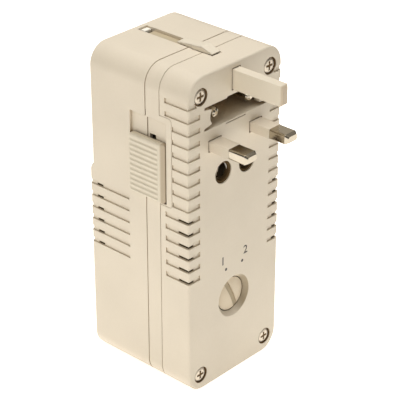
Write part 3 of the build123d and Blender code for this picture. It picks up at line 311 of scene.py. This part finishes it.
def plastic(name, colour, roughness=0.45, grain=0.35 * MM, depth=0.012 * MM, mottle=0.03, edge=0.3 * MM,
            seam_shade=0.55, hollow_shade=1.0, shine=0.42, shade_zones=(), recess_shade=False):
    """Moulded plastic: slow drifts of tone, fine flecks, a fine grain and painted shade in seams and hollows.
    """
    made, tree, shader = new_material(name)
    coords = tree.nodes.new("ShaderNodeTexCoord")
    tone = mottled(tree, noise(tree, coords, DRIFT_SIZE), colour, mottle)
    speck = noise(tree, coords, SPECK_SIZE, COARSE_DETAIL)
    tone = multiply(tree, tone, ramp(tree, speck, ((NOISE_LOW, SPECK_TONE), (NOISE_HIGH, WHITE))))
    if seam_shade:
        tone = closed_in_shade(tree, tone, SEAM_REACH, SEAM_SHADE_TONES, seam_shade)
    if hollow_shade:
        tone = closed_in_shade(tree, tone, HOLLOW_REACH, HOLLOW_SHADE_TONES, hollow_shade)
    for deeper, limits in shade_zones:
        tone = zone(tree, coords, tone, deeper, limits)
    if recess_shade:
        tone = recess_shade_zone(tree, coords, tone)
    tree.links.new(tone, shader.inputs["Base Color"])
    worn = ranged(tree, noise(tree, coords, WEAR_SIZE, FINE_DETAIL), NOISE_LOW, NOISE_HIGH,
                  roughness + WEAR_LOW, roughness + WEAR_HIGH)
    tree.links.new(worn, shader.inputs["Roughness"])
    shader.inputs["Specular IOR Level"].default_value = shine
    surface_bump(tree, coords, shader, grain, depth, edge)
    return made


def metal(name, colour, roughness=0.2, streak=(1.0, 0.06, 1.0), size=0.5 * MM, depth=0.004 * MM,
          edge=0.2 * MM, mottle=0.05):
    """Plated or bare metal with fine draw marks along one way."""
    made, tree, shader = new_material(name)
    coords = tree.nodes.new("ShaderNodeTexCoord")
    tone = mottled(tree, noise(tree, coords, METAL_DRIFT_SIZE), colour, mottle)
    tree.links.new(tone, shader.inputs["Base Color"])
    shader.inputs["Metallic"].default_value = 1.0
    marks = noise(tree, coords, size, FINE_DETAIL, FINE_ROUGHNESS, streak)
    worn = ranged(tree, marks, NOISE_LOW, NOISE_HIGH,
                  max(LEAST_ROUGHNESS, roughness + METAL_WEAR_LOW), roughness + METAL_WEAR_HIGH)
    tree.links.new(worn, shader.inputs["Roughness"])
    surface_bump(tree, coords, shader, size, depth, edge, streak)
    return made


# Zones of painted shade: inside the case, at the front border of the side slide and at the tip of the upper
# pin
FAR = 1.0
SLIDE_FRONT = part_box("side_slide")[0][1]
EARTH_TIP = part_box("uk_earth_pin")[0][1]
INSIDE = (
    # axis, start, start of full tone, end of full tone, end
    ("X", -23.3 * MM, -23.1 * MM, 23.1 * MM, 23.3 * MM),
    ("Y", -23.0 * MM, -22.8 * MM, 23.0 * MM, 23.3 * MM),
    ("Z", 2.0 * MM, 2.2 * MM, 82.0 * MM, 84.0 * MM),
)
SLIDE_BORDER = (("Y", -FAR, -FAR / 2, SLIDE_FRONT + 1.3 * MM, SLIDE_FRONT + 2.0 * MM),)
EARTH_BORDER = (("Y", -FAR, -FAR / 2, EARTH_TIP + 0.3 * MM, EARTH_TIP + 0.9 * MM),)
INSIDE_SHADE = (0.16, 0.12, 0.08)
SLIDE_BORDER_SHADE = (0.70, 0.635, 0.57)
EARTH_TIP_SHADE = (0.80, 0.735, 0.67)

case_plastic = plastic("case_plastic", (0.725, 0.648, 0.515), shade_zones=((INSIDE_SHADE, INSIDE),), recess_shade=True)
slide_plastic = plastic("slide_plastic", (0.68, 0.615, 0.48), roughness=0.42, seam_shade=0.3,
                        shade_zones=((SLIDE_BORDER_SHADE, SLIDE_BORDER),))
lever_plastic = plastic("lever_plastic", (0.76, 0.69, 0.55), roughness=0.4, seam_shade=0.1)
earth_plastic = plastic("earth_plastic", (0.745, 0.67, 0.53), roughness=0.38, grain=0.5 * MM,
                        depth=0.006 * MM, shade_zones=((EARTH_TIP_SHADE, EARTH_BORDER),))
sleeve_plastic = plastic("sleeve_plastic", (0.66, 0.585, 0.465), roughness=0.4, grain=0.5 * MM)
knob_plastic = plastic("knob_plastic", (0.72, 0.615, 0.45), roughness=0.5, seam_shade=0.9)
carrier_plastic = plastic("carrier_plastic", (0.42, 0.34, 0.24), roughness=0.5)
holder_plastic = plastic("holder_plastic", (0.115, 0.075, 0.035), roughness=0.8, mottle=0.1, shine=0.02)
shadow_plastic = plastic("shadow_plastic", (0.05, 0.035, 0.018), roughness=0.8, mottle=0.1, shine=0.02)
# Painted shade for the rings and cross slots of the case screws
screw_shade_plastic = plastic("screw_shade_plastic", (0.16, 0.105, 0.055), roughness=0.8, mottle=0.1, shine=0.02)
# Painted shade for the floor of the coin slot
coin_slot_shade = plastic("coin_slot_shade", (0.45, 0.37, 0.245), roughness=0.6, seam_shade=0.3, hollow_shade=0.0)
# Painted shade for the floor of the top slot
slot_floor_shade = plastic("slot_floor_shade", (0.50, 0.42, 0.28), roughness=0.45, seam_shade=0.3)
# Painted highlight: the pale colour of the slot's end stop, where the slot's end shows bright
stop_highlight = plastic("stop_highlight", (0.94, 0.90, 0.79), roughness=0.5, seam_shade=0.2, hollow_shade=0.0)
black_plastic = plastic("black_plastic", (0.02, 0.02, 0.02), roughness=0.45, mottle=0.1)
socket_plastic = plastic("socket_plastic", (0.60, 0.53, 0.40), roughness=0.45)
bobbin_plastic = plastic("bobbin_plastic", (0.75, 0.73, 0.66), roughness=0.4)
tape_plastic = plastic("tape_plastic", (0.75, 0.52, 0.06), roughness=0.3, grain=1.5 * MM, depth=0.03 * MM)
fuse_plastic = plastic("fuse_plastic", (0.62, 0.60, 0.54), roughness=0.3)
board_laminate = plastic("board_laminate", (0.36, 0.22, 0.08), roughness=0.5, grain=0.8 * MM, mottle=0.12)
print_ink = plastic("print_ink", (0.07, 0.055, 0.045), roughness=0.55, grain=0.2 * MM, depth=0.004 * MM,
                    mottle=0.12, edge=0.0, seam_shade=0.0, hollow_shade=0.0)
nickel = metal("nickel", (0.51, 0.455, 0.36), roughness=0.11)
# Painted highlight for the glint in the blade holes
clip_glint_metal = metal("clip_glint_metal", (0.95, 0.92, 0.85), roughness=0.45)
screw_steel = metal("screw_steel", (0.68, 0.61, 0.50), roughness=0.5, streak=(1.0, 1.0, 1.0), size=0.8 * MM)
brass = metal("brass", (0.74, 0.55, 0.24), roughness=0.3)
core_steel = metal("core_steel", (0.16, 0.16, 0.17), roughness=0.5, streak=(0.05, 4.0, 0.05),
                   size=1.5 * MM, depth=0.05 * MM)
copper = metal("copper", (0.62, 0.25, 0.09), roughness=0.35, streak=(0.05, 0.05, 3.0),
               size=1.2 * MM, depth=0.08 * MM)

NODE_MATERIALS = {
    case_plastic: ("front_cover", "middle_frame", "rear_housing"),
    slide_plastic: ("side_slide", "eu_lever", "us_lever"),
    lever_plastic: ("top_lever",),
    earth_plastic: ("uk_earth_pin",),
    sleeve_plastic: ("uk_pin_sleeves", "eu_pin_sleeves"),
    knob_plastic: ("selector_knob",),
    carrier_plastic: ("uk_carriage", "eu_block", "us_carriage", "slide_keeper"),
    holder_plastic: ("us_left_barrel", "us_right_barrel", "blade_collar"),
    black_plastic: ("switch_housing", "switch_rotor"),
    socket_plastic: ("socket_insert",),
    bobbin_plastic: ("transformer_bobbin",),
    tape_plastic: ("winding_tape",),
    fuse_plastic: ("thermal_fuse",),
    board_laminate: ("circuit_board",),
    nickel: ("uk_live_pin", "uk_neutral_pin", "eu_pins", "us_left_blade", "us_right_blade"),
    screw_steel: ("case_screws", "transformer_screws"),
    brass: ("uk_contacts", "eu_contacts", "us_contact_plates", "socket_contacts", "switch_contacts"),
    core_steel: ("transformer_core",),
    copper: ("primary_winding", "secondary_winding"),
}
for finish, names in NODE_MATERIALS.items():
    for name in names:
        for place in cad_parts[name].material_slots:
            place.material = finish

# Rounding of the small edges of the lever and of the slot's end stop
EASED_EDGE = 0.15 * MM
EASED_SEGMENTS = 2


def mesh_piece(name, mesh_data, finish, body):
    """Adds a finished mesh as a piece that rides on a body."""
    piece = bpy.data.objects.new(name, mesh_data)
    bpy.context.scene.collection.objects.link(piece)
    piece.data.materials.clear()
    piece.data.materials.append(finish)
    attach(piece, body)
    return piece


def finished(shape, name, finish, body, bevel=0.0):
    """Closes a mesh: outward faces, small rounded edges, then a piece on a body."""
    bmesh.ops.recalc_face_normals(shape, faces=shape.faces)
    if bevel:
        bmesh.ops.bevel(shape, geom=list(shape.edges), offset=bevel, segments=EASED_SEGMENTS,
                        affect="EDGES", clamp_overlap=True)
    data = bpy.data.meshes.new(name)
    shape.to_mesh(data)
    shape.free()
    return mesh_piece(name, data, finish, body)


def tube(shape, rings, closed=False):
    """Joins rings of points one after the other, with end faces unless the last joins the first."""
    made = [[shape.verts.new(point) for point in ring] for ring in rings]
    if closed:
        made.append(made[0])
    else:
        shape.faces.new(made[0])
        shape.faces.new(made[-1][::-1])
    for first, second in zip(made, made[1:]):
        for i in range(len(first)):
            after = (i + 1) % len(first)
            shape.faces.new((first[i], second[i], second[after], first[after]))


def block(shape, low, high):
    """Adds a block between two corners."""
    profile = ((low[1], low[2]), (high[1], low[2]), (high[1], high[2]), (low[1], high[2]))
    tube(shape, [[(x, y, z) for y, z in profile] for x in (low[0], high[0])])


def block_piece(name, low, high, finish, bevel=0.0):
    """Adds one block between two corners as a piece of the case."""
    shape = bmesh.new()
    block(shape, low, high)
    finished(shape, name, finish, "case", bevel)


def quarter_arc(centre, radius, start, way, steps):
    """Points of a quarter circle from a start angle in degrees, clockwise where way is -1."""
    points = []
    for step in range(steps + 1):
        angle = math.radians(start + way * 90 * step / steps)
        points.append((centre[0] + radius * math.cos(angle), centre[1] + radius * math.sin(angle)))
    return points


# Floor, front step and end stop of the top slot; the floor's darker colour is painted shade
SLOT_LEFT = -1.0 * MM
SLOT_RIGHT = 2.5 * MM
SLOT_FRONT = FACE_Y + 9.25 * MM
SLOT_FLOOR_BACK = FACE_Y + 42.6 * MM
SLOT_STOP_FRONT = FACE_Y + 44.2 * MM
SLOT_BACK = FACE_Y + 46.6 * MM
SLOT_UNDER = COVER_TOP - 1.95 * MM
SLOT_LEVEL = COVER_TOP - 1.1 * MM
STOP_LEVEL = COVER_TOP - 0.7 * MM
STEP_SIDE = 2.47 * MM
STEP_BACK = FACE_Y + 11.7 * MM
STEP_LEVEL = COVER_TOP - 0.22 * MM

block_piece("slot_floor", (SLOT_LEFT, STEP_BACK, SLOT_UNDER), (SLOT_RIGHT, SLOT_FLOOR_BACK, SLOT_LEVEL),
            slot_floor_shade)
block_piece("slot_front_step", (-STEP_SIDE, SLOT_FRONT, SLOT_UNDER), (STEP_SIDE, STEP_BACK, STEP_LEVEL),
            case_plastic)
# The stop's pale colour is a painted highlight
block_piece("slot_stop", (SLOT_LEFT, SLOT_STOP_FRONT, SLOT_UNDER), (SLOT_RIGHT, SLOT_BACK, STOP_LEVEL),
            stop_highlight, EASED_EDGE)

# Lever of the flat-pin set, with a thin neck that runs in the gap beside the slot's floor and stop
LEVER_LOW, LEVER_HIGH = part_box("top_lever")
LEVER_FRONT = LEVER_LOW[1]
LEVER_BACK = LEVER_HIGH[1]
LEVER_UNDER = COVER_TOP + 0.05 * MM
LEVER_DRAFT = 0.96
LEVER_SECTIONS = (
    # place behind the toe, half width, height above the case
    (0.0, 2.25 * MM, 0.40 * MM),
    (4.6 * MM, 2.55 * MM, 1.98 * MM),
    (5.0 * MM, 2.60 * MM, 2.0 * MM),
    (9.2 * MM, 2.70 * MM, 1.50 * MM),
    (9.9 * MM, 2.30 * MM, 1.42 * MM),
    (LEVER_BACK - LEVER_FRONT, 2.25 * MM, 0.60 * MM),
)
NECK_FRONT = LEVER_FRONT + 2.4 * MM
NECK_BACK = LEVER_BACK - 4.5 * MM
NECK_LEFT = -2.2 * MM
NECK_RIGHT = -1.3 * MM
NECK_FOOT = COVER_TOP - 2.4 * MM
NECK_OVERLAP = 0.05 * MM
FOOT_RIGHT = 2.2 * MM


def lever_section(place, reach, rise):
    """Section of the lever's thumb pad: four points at one place behind its toe."""
    y = LEVER_FRONT + place
    top = COVER_TOP + rise
    narrow = reach * LEVER_DRAFT
    return [(-reach, y, LEVER_UNDER), (reach, y, LEVER_UNDER), (narrow, y, top), (-narrow, y, top)]


lever = bmesh.new()
tube(lever, [lever_section(*section) for section in LEVER_SECTIONS])
block(lever, (NECK_LEFT, NECK_FRONT, NECK_FOOT), (NECK_RIGHT, NECK_BACK, LEVER_UNDER + NECK_OVERLAP))
block(lever, (NECK_LEFT, NECK_FRONT, LEVER_LOW[2]), (FOOT_RIGHT, NECK_BACK, NECK_FOOT))
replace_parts(finished(lever, "thumb_lever", lever_plastic, "uk_plug_set", EASED_EDGE), "top_lever")

# Painted shade: a dark ring in the recess round each case screw, and a dark floor in its cross slots
SCREW_X = HALF_WIDTH - 6.6 * MM
SCREW_HEIGHTS = (COVER_TOP - 7.8 * MM, 6.6 * MM)
RING_INNER = 3.06 * MM
RING_OUTER = 3.38 * MM
RING_FRONT = FACE_Y + 0.14 * MM
RING_BACK = FACE_Y + 0.75 * MM
RING_SIDES = 40
CROSS_REACH = 1.78 * MM
CROSS_HALF = 0.43 * MM
CROSS_FRONT = FACE_Y + 0.4 * MM
CROSS_BACK = FACE_Y + 0.7 * MM


def screw_ring(shape, centre_x, centre_z):
    """Adds a flat ring between the head of a case screw and the wall of its recess."""
    section = ((RING_INNER, RING_FRONT), (RING_OUTER, RING_FRONT),
               (RING_OUTER, RING_BACK), (RING_INNER, RING_BACK))
    rings = []
    for i in range(RING_SIDES):
        angle = 2 * math.pi * i / RING_SIDES
        rings.append([(centre_x + reach * math.cos(angle), y, centre_z + reach * math.sin(angle))
                      for reach, y in section])
    tube(shape, rings, closed=True)


def screw_cross(shape, centre_x, centre_z):
    """Adds a cross of four arms that lies in the slots of a case screw."""
    outline = []
    for across, up in ((1, 0), (0, 1), (-1, 0), (0, -1)):
        outline.append((CROSS_REACH * across + CROSS_HALF * up, CROSS_REACH * up - CROSS_HALF * across))
        outline.append((CROSS_REACH * across - CROSS_HALF * up, CROSS_REACH * up + CROSS_HALF * across))
        outline.append((CROSS_HALF * (across - up), CROSS_HALF * (across + up)))
    tube(shape, [[(centre_x + x, y, centre_z + z) for x, z in outline] for y in (CROSS_FRONT, CROSS_BACK)])


screw_shadows = bmesh.new()
for side in (-1, 1):
    for height in SCREW_HEIGHTS:
        screw_ring(screw_shadows, side * SCREW_X, height)
        screw_cross(screw_shadows, side * SCREW_X, height)
finished(screw_shadows, "screw_shadows", screw_shade_plastic, "case")

# Raised floors that make the corner grooves and vents shallower, as they are in the photograph
GROOVE_DEPTH = 1.2 * MM
GROOVE_HEIGHT = 1.99 * MM
GROOVE_PITCH = 5.05 * MM
GROOVE_COUNT = 15
TOP_GROOVE = COVER_TOP - 10.3 * MM
FLOOR_DEPTH = GROOVE_DEPTH - 0.65 * MM
SHADOW_DEPTH = GROOVE_DEPTH - 0.25 * MM
VENT_COUNT = 6
VENTS_FROM = GROOVE_COUNT - VENT_COUNT
VENT_OPENING = 0.9 * MM

# How far the floors reach: along the side wall from the front or back, and along that face from the side
SIDE_REACH = 8.0 * MM
LONG_SIDE_REACH = 11.5 * MM
LONG_GROOVES = 2
BACK_SIDE_REACH = 20.6 * MM
FACE_REACH = 6.2 * MM
TOP_FACE_REACH = 4.4 * MM
# Grooves on the right side that meet the slots of the side levers, and how far their floors reach there
LEVER_SLOTS = {2: 4.5 * MM, 7: 7.3 * MM}

# How far the open slits of the vents reach in the same way, and where two floors meet behind the back slit
SLIT_FACE_REACH = 3.2 * MM
FRONT_SLIT_REACH = 5.5 * MM
BACK_SLIT_FROM = 3.3 * MM
BACK_SLIT_TO = 6.4 * MM
BACK_FLOOR_JOIN = 7.1 * MM

# Parts of a groove's height, above its lower bank
WHOLE = (0.0, GROOVE_HEIGHT)
SLIT = (0.0, VENT_OPENING)
ABOVE_SLIT = (VENT_OPENING, GROOVE_HEIGHT)


def side_strip(start, end, depth=FLOOR_DEPTH):
    """Outline of a strip along the side wall: distances in from the side and in from the face."""
    return (GROOVE_DEPTH, start), (depth, start), (depth, end), (GROOVE_DEPTH, end)


def face_strip(start, end):
    """Outline of a strip along the front or back face, given in the same way."""
    return (start, GROOVE_DEPTH), (start, FLOOR_DEPTH), (end, FLOOR_DEPTH), (end, GROOVE_DEPTH)


def corner_strip(side_end, face_end, depth=FLOOR_DEPTH):
    """Outline of a strip that runs round the corner of the case, given in the same way."""
    return ((face_end, GROOVE_DEPTH), (face_end, depth), (depth, depth), (depth, side_end),
            (GROOVE_DEPTH, side_end), (GROOVE_DEPTH, GROOVE_DEPTH))


def lay(shape, strips, level, side, edge, inward):
    """Lays strips, each an outline and its heights, in a groove at one corner of the case."""
    foot = level - GROOVE_HEIGHT / 2
    for outline, heights in strips:
        corners = [(side * (HALF_WIDTH - from_side), edge + inward * from_face)
                   for from_side, from_face in outline]
        tube(shape, [[(x, y, foot + height) for x, y in corners] for height in heights])


FRONT_VENT_FLOORS = (
    (side_strip(FRONT_SLIT_REACH, LONG_SIDE_REACH), WHOLE),
    (face_strip(SLIT_FACE_REACH, FACE_REACH), WHOLE),
    (corner_strip(FRONT_SLIT_REACH, SLIT_FACE_REACH), ABOVE_SLIT),
)
BACK_VENT_FLOORS = (
    (side_strip(BACK_FLOOR_JOIN, BACK_SIDE_REACH), WHOLE),
    (face_strip(SLIT_FACE_REACH, FACE_REACH), WHOLE),
    (corner_strip(BACK_SLIT_FROM, SLIT_FACE_REACH), WHOLE),
    (side_strip(BACK_SLIT_FROM, BACK_SLIT_TO), ABOVE_SLIT),
    (side_strip(BACK_SLIT_TO, BACK_FLOOR_JOIN), WHOLE),
)
FRONT_VENT_SHADOWS = ((corner_strip(FRONT_SLIT_REACH, SLIT_FACE_REACH, SHADOW_DEPTH), SLIT),)
BACK_VENT_SHADOWS = ((side_strip(BACK_SLIT_FROM, BACK_SLIT_TO, SHADOW_DEPTH), SLIT),)

floors = bmesh.new()
shadows = bmesh.new()
for i in range(GROOVE_COUNT):
    level = TOP_GROOVE - i * GROOVE_PITCH
    for side in (-1, 1):
        if i >= VENTS_FROM:
            lay(floors, FRONT_VENT_FLOORS, level, side, FACE_Y, 1)
            lay(floors, BACK_VENT_FLOORS, level, side, BACK_Y, -1)
            lay(shadows, FRONT_VENT_SHADOWS, level, side, FACE_Y, 1)
            lay(shadows, BACK_VENT_SHADOWS, level, side, BACK_Y, -1)
        else:
            side_end = LONG_SIDE_REACH if i < LONG_GROOVES else SIDE_REACH
            if side > 0:
                side_end = LEVER_SLOTS.get(i, side_end)
            face_end = TOP_FACE_REACH if i == 0 else FACE_REACH
            lay(floors, ((corner_strip(side_end, face_end), WHOLE),), level, side, FACE_Y, 1)
finished(floors, "groove_floors", case_plastic, "case")
finished(shadows, "vent_shadows", shadow_plastic, "case")

# Narrow fillings that make the two seams shallower, open where the seams cross the slide recess
CORNER_RADIUS = 8.0 * MM
CORNER_STEPS = 16
RECESS_LOW = COVER_TOP - 52.6 * MM
RECESS_HIGH = COVER_TOP - 16.8 * MM
SEAMS = (
    # name, front, back, how deep the seam stays open
    ("front_seam_fill", FACE_Y + 13.86 * MM, FACE_Y + 14.14 * MM, 0.15 * MM),
    ("rear_seam_fill", FACE_Y + 20.79 * MM, FACE_Y + 21.21 * MM, 0.27 * MM),
)
SEAM_THICKNESS = 0.4 * MM


def case_path(inset):
    """Points (X, Z) of the case's outline, from above the slide recess round the right side to below it."""
    reach = HALF_WIDTH - CORNER_RADIUS
    high = COVER_TOP - CORNER_RADIUS
    points = [(inset - HALF_WIDTH, RECESS_HIGH)]
    for centre, start in (((-reach, high), 180), ((reach, high), 90),
                          ((reach, CORNER_RADIUS), 0), ((-reach, CORNER_RADIUS), -90)):
        points += quarter_arc(centre, CORNER_RADIUS - inset, start, -1, CORNER_STEPS)
    points.append((inset - HALF_WIDTH, RECESS_LOW))
    return points


for name, front, back, inset in SEAMS:
    fill = bmesh.new()
    tube(fill, [[(x, y, z) for (x, z), y in ((outer, front), (outer, back), (inner, back), (inner, front))]
                for outer, inner in zip(case_path(inset), case_path(inset + SEAM_THICKNESS))])
    finished(fill, name, case_plastic, "case")

# The same filling in the seam round the forward tab of the middle frame
TAB_FRONT = FACE_Y + 8.0 * MM
TAB_BACK = FACE_Y + 14.0 * MM
TAB_LOW = COVER_TOP - 52.4 * MM
TAB_HIGH = COVER_TOP - 17.0 * MM
TAB_CORNER = 1.5 * MM
TAB_SEAM = 0.3 * MM
TAB_MARGIN = 0.02 * MM
TAB_STEPS = 8
TAB_OUTSIDE = -HALF_WIDTH + 0.12 * MM
TAB_INSIDE = TAB_OUTSIDE + SEAM_THICKNESS


def tab_path(front, grow):
    """Points (Y, Z) round the front of the tab, from its upper back to its lower back."""
    centre_y = front + TAB_CORNER
    return [(TAB_BACK, TAB_HIGH + grow),
            *quarter_arc((centre_y, TAB_HIGH + grow - TAB_CORNER), TAB_CORNER, 90, 1, TAB_STEPS),
            *quarter_arc((centre_y, TAB_LOW - grow + TAB_CORNER), TAB_CORNER, 180, 1, TAB_STEPS),
            (TAB_BACK, TAB_LOW - grow)]


tab_fill = bmesh.new()
tab_outer = tab_path(TAB_FRONT + TAB_MARGIN, TAB_SEAM - TAB_MARGIN)
tab_inner = tab_path(TAB_FRONT + TAB_SEAM - TAB_MARGIN, TAB_MARGIN)
tube(tab_fill, [[(TAB_OUTSIDE, *outer), (TAB_OUTSIDE, *inner), (TAB_INSIDE, *inner), (TAB_INSIDE, *outer)]
                for outer, inner in zip(tab_outer, tab_inner)])
finished(tab_fill, "tab_seam_fill", case_plastic, "case")

# Painted highlight: a bright wire like the edge of a spring clip in each blade hole, standing in for its
# glint
CLIP_RADIUS = 3.41 * MM
CLIP_WIRE = 0.16 * MM
CLIP_END_SHARE = 0.35
CLIP_Y = FACE_Y + 1.7 * MM
CLIP_FROM = math.radians(-8)
CLIP_TO = math.radians(78)
CLIP_STEPS = 22
CLIP_SIDES = 8
BLADE_LOW, BLADE_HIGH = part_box("us_left_blade")
HOLE_X = abs(BLADE_LOW[0] + BLADE_HIGH[0]) / 2
HOLE_Z = (BLADE_LOW[2] + BLADE_HIGH[2]) / 2


def clip(shape, centre_x):
    """Adds a bent wire that lies on the wall of a blade hole and thins out at both ends."""
    rings = []
    for step in range(CLIP_STEPS + 1):
        share = step / CLIP_STEPS
        angle = CLIP_FROM + (CLIP_TO - CLIP_FROM) * share
        fullness = math.sin(math.pi * share) ** 0.5
        wire = CLIP_WIRE * (CLIP_END_SHARE + (1 - CLIP_END_SHARE) * fullness)
        ring = []
        for i in range(CLIP_SIDES):
            turn = 2 * math.pi * i / CLIP_SIDES
            away = CLIP_RADIUS + CLIP_WIRE - wire + wire * math.cos(turn)
            ring.append((centre_x + away * math.cos(angle), CLIP_Y + wire * math.sin(turn),
                         HOLE_Z + away * math.sin(angle)))
        rings.append(ring)
    tube(shape, rings)


clips = bmesh.new()
for side in (-1, 1):
    clip(clips, side * HOLE_X)
finished(clips, "blade_hole_glints", clip_glint_metal, "case")

# Floor of the coin slot, coloured as painted shade: a shallow curve that comes out almost level with the
# selector's front at both ends
KNOB_TURN = math.radians(25)
COIN_HALF = 1.02 * MM
COIN_REACH = 6.76 * MM
COIN_MIDDLE = FACE_Y + 1.7 * MM
COIN_UNDER = FACE_Y + 2.72 * MM
COIN_RADIUS = 58.0 * MM
COIN_STEPS = 16


def coin_section(along):
    """Section across the floor of the coin slot, at one place along it."""
    level = COIN_MIDDLE + along**2 / (2 * COIN_RADIUS)
    points = []
    for across, y in ((-COIN_HALF, level), (COIN_HALF, level),
                      (COIN_HALF, COIN_UNDER), (-COIN_HALF, COIN_UNDER)):
        x = along * math.sin(KNOB_TURN) + across * math.cos(KNOB_TURN)
        z = -along * math.cos(KNOB_TURN) + across * math.sin(KNOB_TURN)
        points.append((x, y, KNOB_HEIGHT + z))
    return points


coin_floor = bmesh.new()
tube(coin_floor, [coin_section(COIN_REACH * (2 * step / COIN_STEPS - 1)) for step in range(COIN_STEPS + 1)])
finished(coin_floor, "coin_slot_floor", coin_slot_shade, "selector")

# Printed marks above the selector: a dot and a plain number for each of its two places
INK_THICKNESS = 0.03 * MM
DOT_RADIUS = 0.65 * MM
DOT_TAPER = 0.96
DOT_X = 4.6 * MM
DOT_Z = KNOB_HEIGHT + 13.4 * MM
DOT_SIDES = 28
DIGIT_HEIGHT = 3.4 * MM
DIGIT_X = 6.4 * MM
DIGIT_Z = KNOB_HEIGHT + 16.0 * MM
DIGIT_WEIGHT = 0.05 * MM
# Height of a digit as a share of the font's size
FONT_SHARE = 0.69


def on_face(x, z):
    """Placement of a flat mark on the plug face."""
    return Matrix.Translation((x, FACE_Y, z)) @ Matrix.Rotation(math.pi / 2, 4, "X")


def printed_digit(text, centre_x):
    """Adds a plain digit as a thin printed shape."""
    curve = bpy.data.curves.new("digit", "FONT")
    curve.body = text
    curve.align_x = "CENTER"
    curve.size = DIGIT_HEIGHT / FONT_SHARE
    curve.extrude = INK_THICKNESS / 2
    curve.offset = DIGIT_WEIGHT
    holder = bpy.data.objects.new("digit", curve)
    bpy.context.scene.collection.objects.link(holder)
    bpy.context.view_layer.update()
    shape = bpy.data.meshes.new_from_object(holder.evaluated_get(bpy.context.evaluated_depsgraph_get()))
    bpy.data.objects.remove(holder)
    shape.transform(on_face(centre_x, DIGIT_Z))
    mesh_piece("place_number_" + text, shape, print_ink, "case")


printed_digit("1", -DIGIT_X)
printed_digit("2", DIGIT_X)
dots = bmesh.new()
for side in (-1, 1):
    bmesh.ops.create_cone(dots, cap_ends=True, segments=DOT_SIDES, depth=INK_THICKNESS, radius1=DOT_RADIUS,
                          radius2=DOT_RADIUS * DOT_TAPER, matrix=on_face(side * DOT_X, DOT_Z))
finished(dots, "place_dots", print_ink, "case")


def add_floor():
    """Adds a pale floor that glows a little near the object, like a lit white table."""
    half = FLOOR_SIZE / 2
    data = bpy.data.meshes.new("floor")
    corners = [(-half, -half, 0), (half, -half, 0), (half, half, 0), (-half, half, 0)]
    data.from_pydata(corners, [], [(0, 1, 2, 3)])
    floor = bpy.data.objects.new("floor", data)
    bpy.context.scene.collection.objects.link(floor)
    paint, tree, shader = new_material("floor_paint")
    coords = tree.nodes.new("ShaderNodeTexCoord")
    drift = noise(tree, coords, FLOOR_DRIFT_SIZE, COARSE_DETAIL)
    tree.links.new(mottled(tree, drift, FLOOR_COLOUR, FLOOR_MOTTLE), shader.inputs["Base Color"])
    glow = ranged(tree, length(tree, coords.outputs["Object"]), GLOW_NEAR, GLOW_FAR,
                  FLOOR_GLOW, FLOOR_GLOW * GLOW_FAR_SHARE)
    tree.links.new(glow, shader.inputs["Emission Strength"])
    shader.inputs["Emission Color"].default_value = GLOW_COLOUR + (1.0,)
    shader.inputs["Roughness"].default_value = FLOOR_ROUGHNESS
    shader.inputs["Specular IOR Level"].default_value = FLOOR_SHINE
    data.materials.append(paint)


def add_world():
    """Lights the scene from all round, dimmer low down than overhead."""
    world = bpy.data.worlds.new("studio")
    bpy.context.scene.world = world
    world.use_nodes = True
    tree = world.node_tree
    background = tree.nodes["Background"]
    background.inputs["Color"].default_value = WORLD_COLOUR + (1.0,)
    coords = tree.nodes.new("ShaderNodeTexCoord")
    height = axis_values(tree, coords.outputs["Generated"])["Z"]
    strength = ranged(tree, height, WORLD_LOW_SINE, WORLD_HIGH_SINE, WORLD_LOW, WORLD_HIGH)
    tree.links.new(strength, background.inputs["Strength"])


def add_lights():
    """Adds the round studio lights, all aimed at the middle of the object."""
    for name, place, width, power, colour in LIGHTS:
        data = bpy.data.lights.new(name, "AREA")
        data.shape = "DISK"
        data.size = width
        data.energy = power
        data.color = colour
        lamp = bpy.data.objects.new(name, data)
        lamp.location = place
        lamp.rotation_euler = (AIM - Vector(place)).to_track_quat("-Z", "Y").to_euler()
        bpy.context.scene.collection.objects.link(lamp)


def add_camera():
    """Adds the camera at the photograph's place and makes it the scene's camera."""
    ahead = Vector((math.sin(CAMERA_TURN) * math.cos(CAMERA_TILT),
                    math.cos(CAMERA_TURN) * math.cos(CAMERA_TILT),
                    -math.sin(CAMERA_TILT)))
    right = Vector((math.cos(CAMERA_TURN), -math.sin(CAMERA_TURN), 0))
    up = right.cross(ahead)
    data = bpy.data.cameras.new("photo_camera")
    data.sensor_fit = "HORIZONTAL"
    data.sensor_width = SENSOR_WIDTH
    data.lens = CAMERA_LENS
    data.clip_start = CAMERA_NEAR
    data.clip_end = CAMERA_FAR
    camera = bpy.data.objects.new("photo_camera", data)
    axes = Matrix((right, up, -ahead)).transposed().to_4x4()
    camera.matrix_world = Matrix.Translation(CAMERA_PLACE) @ axes
    bpy.context.scene.collection.objects.link(camera)
    bpy.context.scene.camera = camera


add_floor()
add_world()
add_lights()
add_camera()
bpy.context.scene.view_settings.view_transform = "Standard"
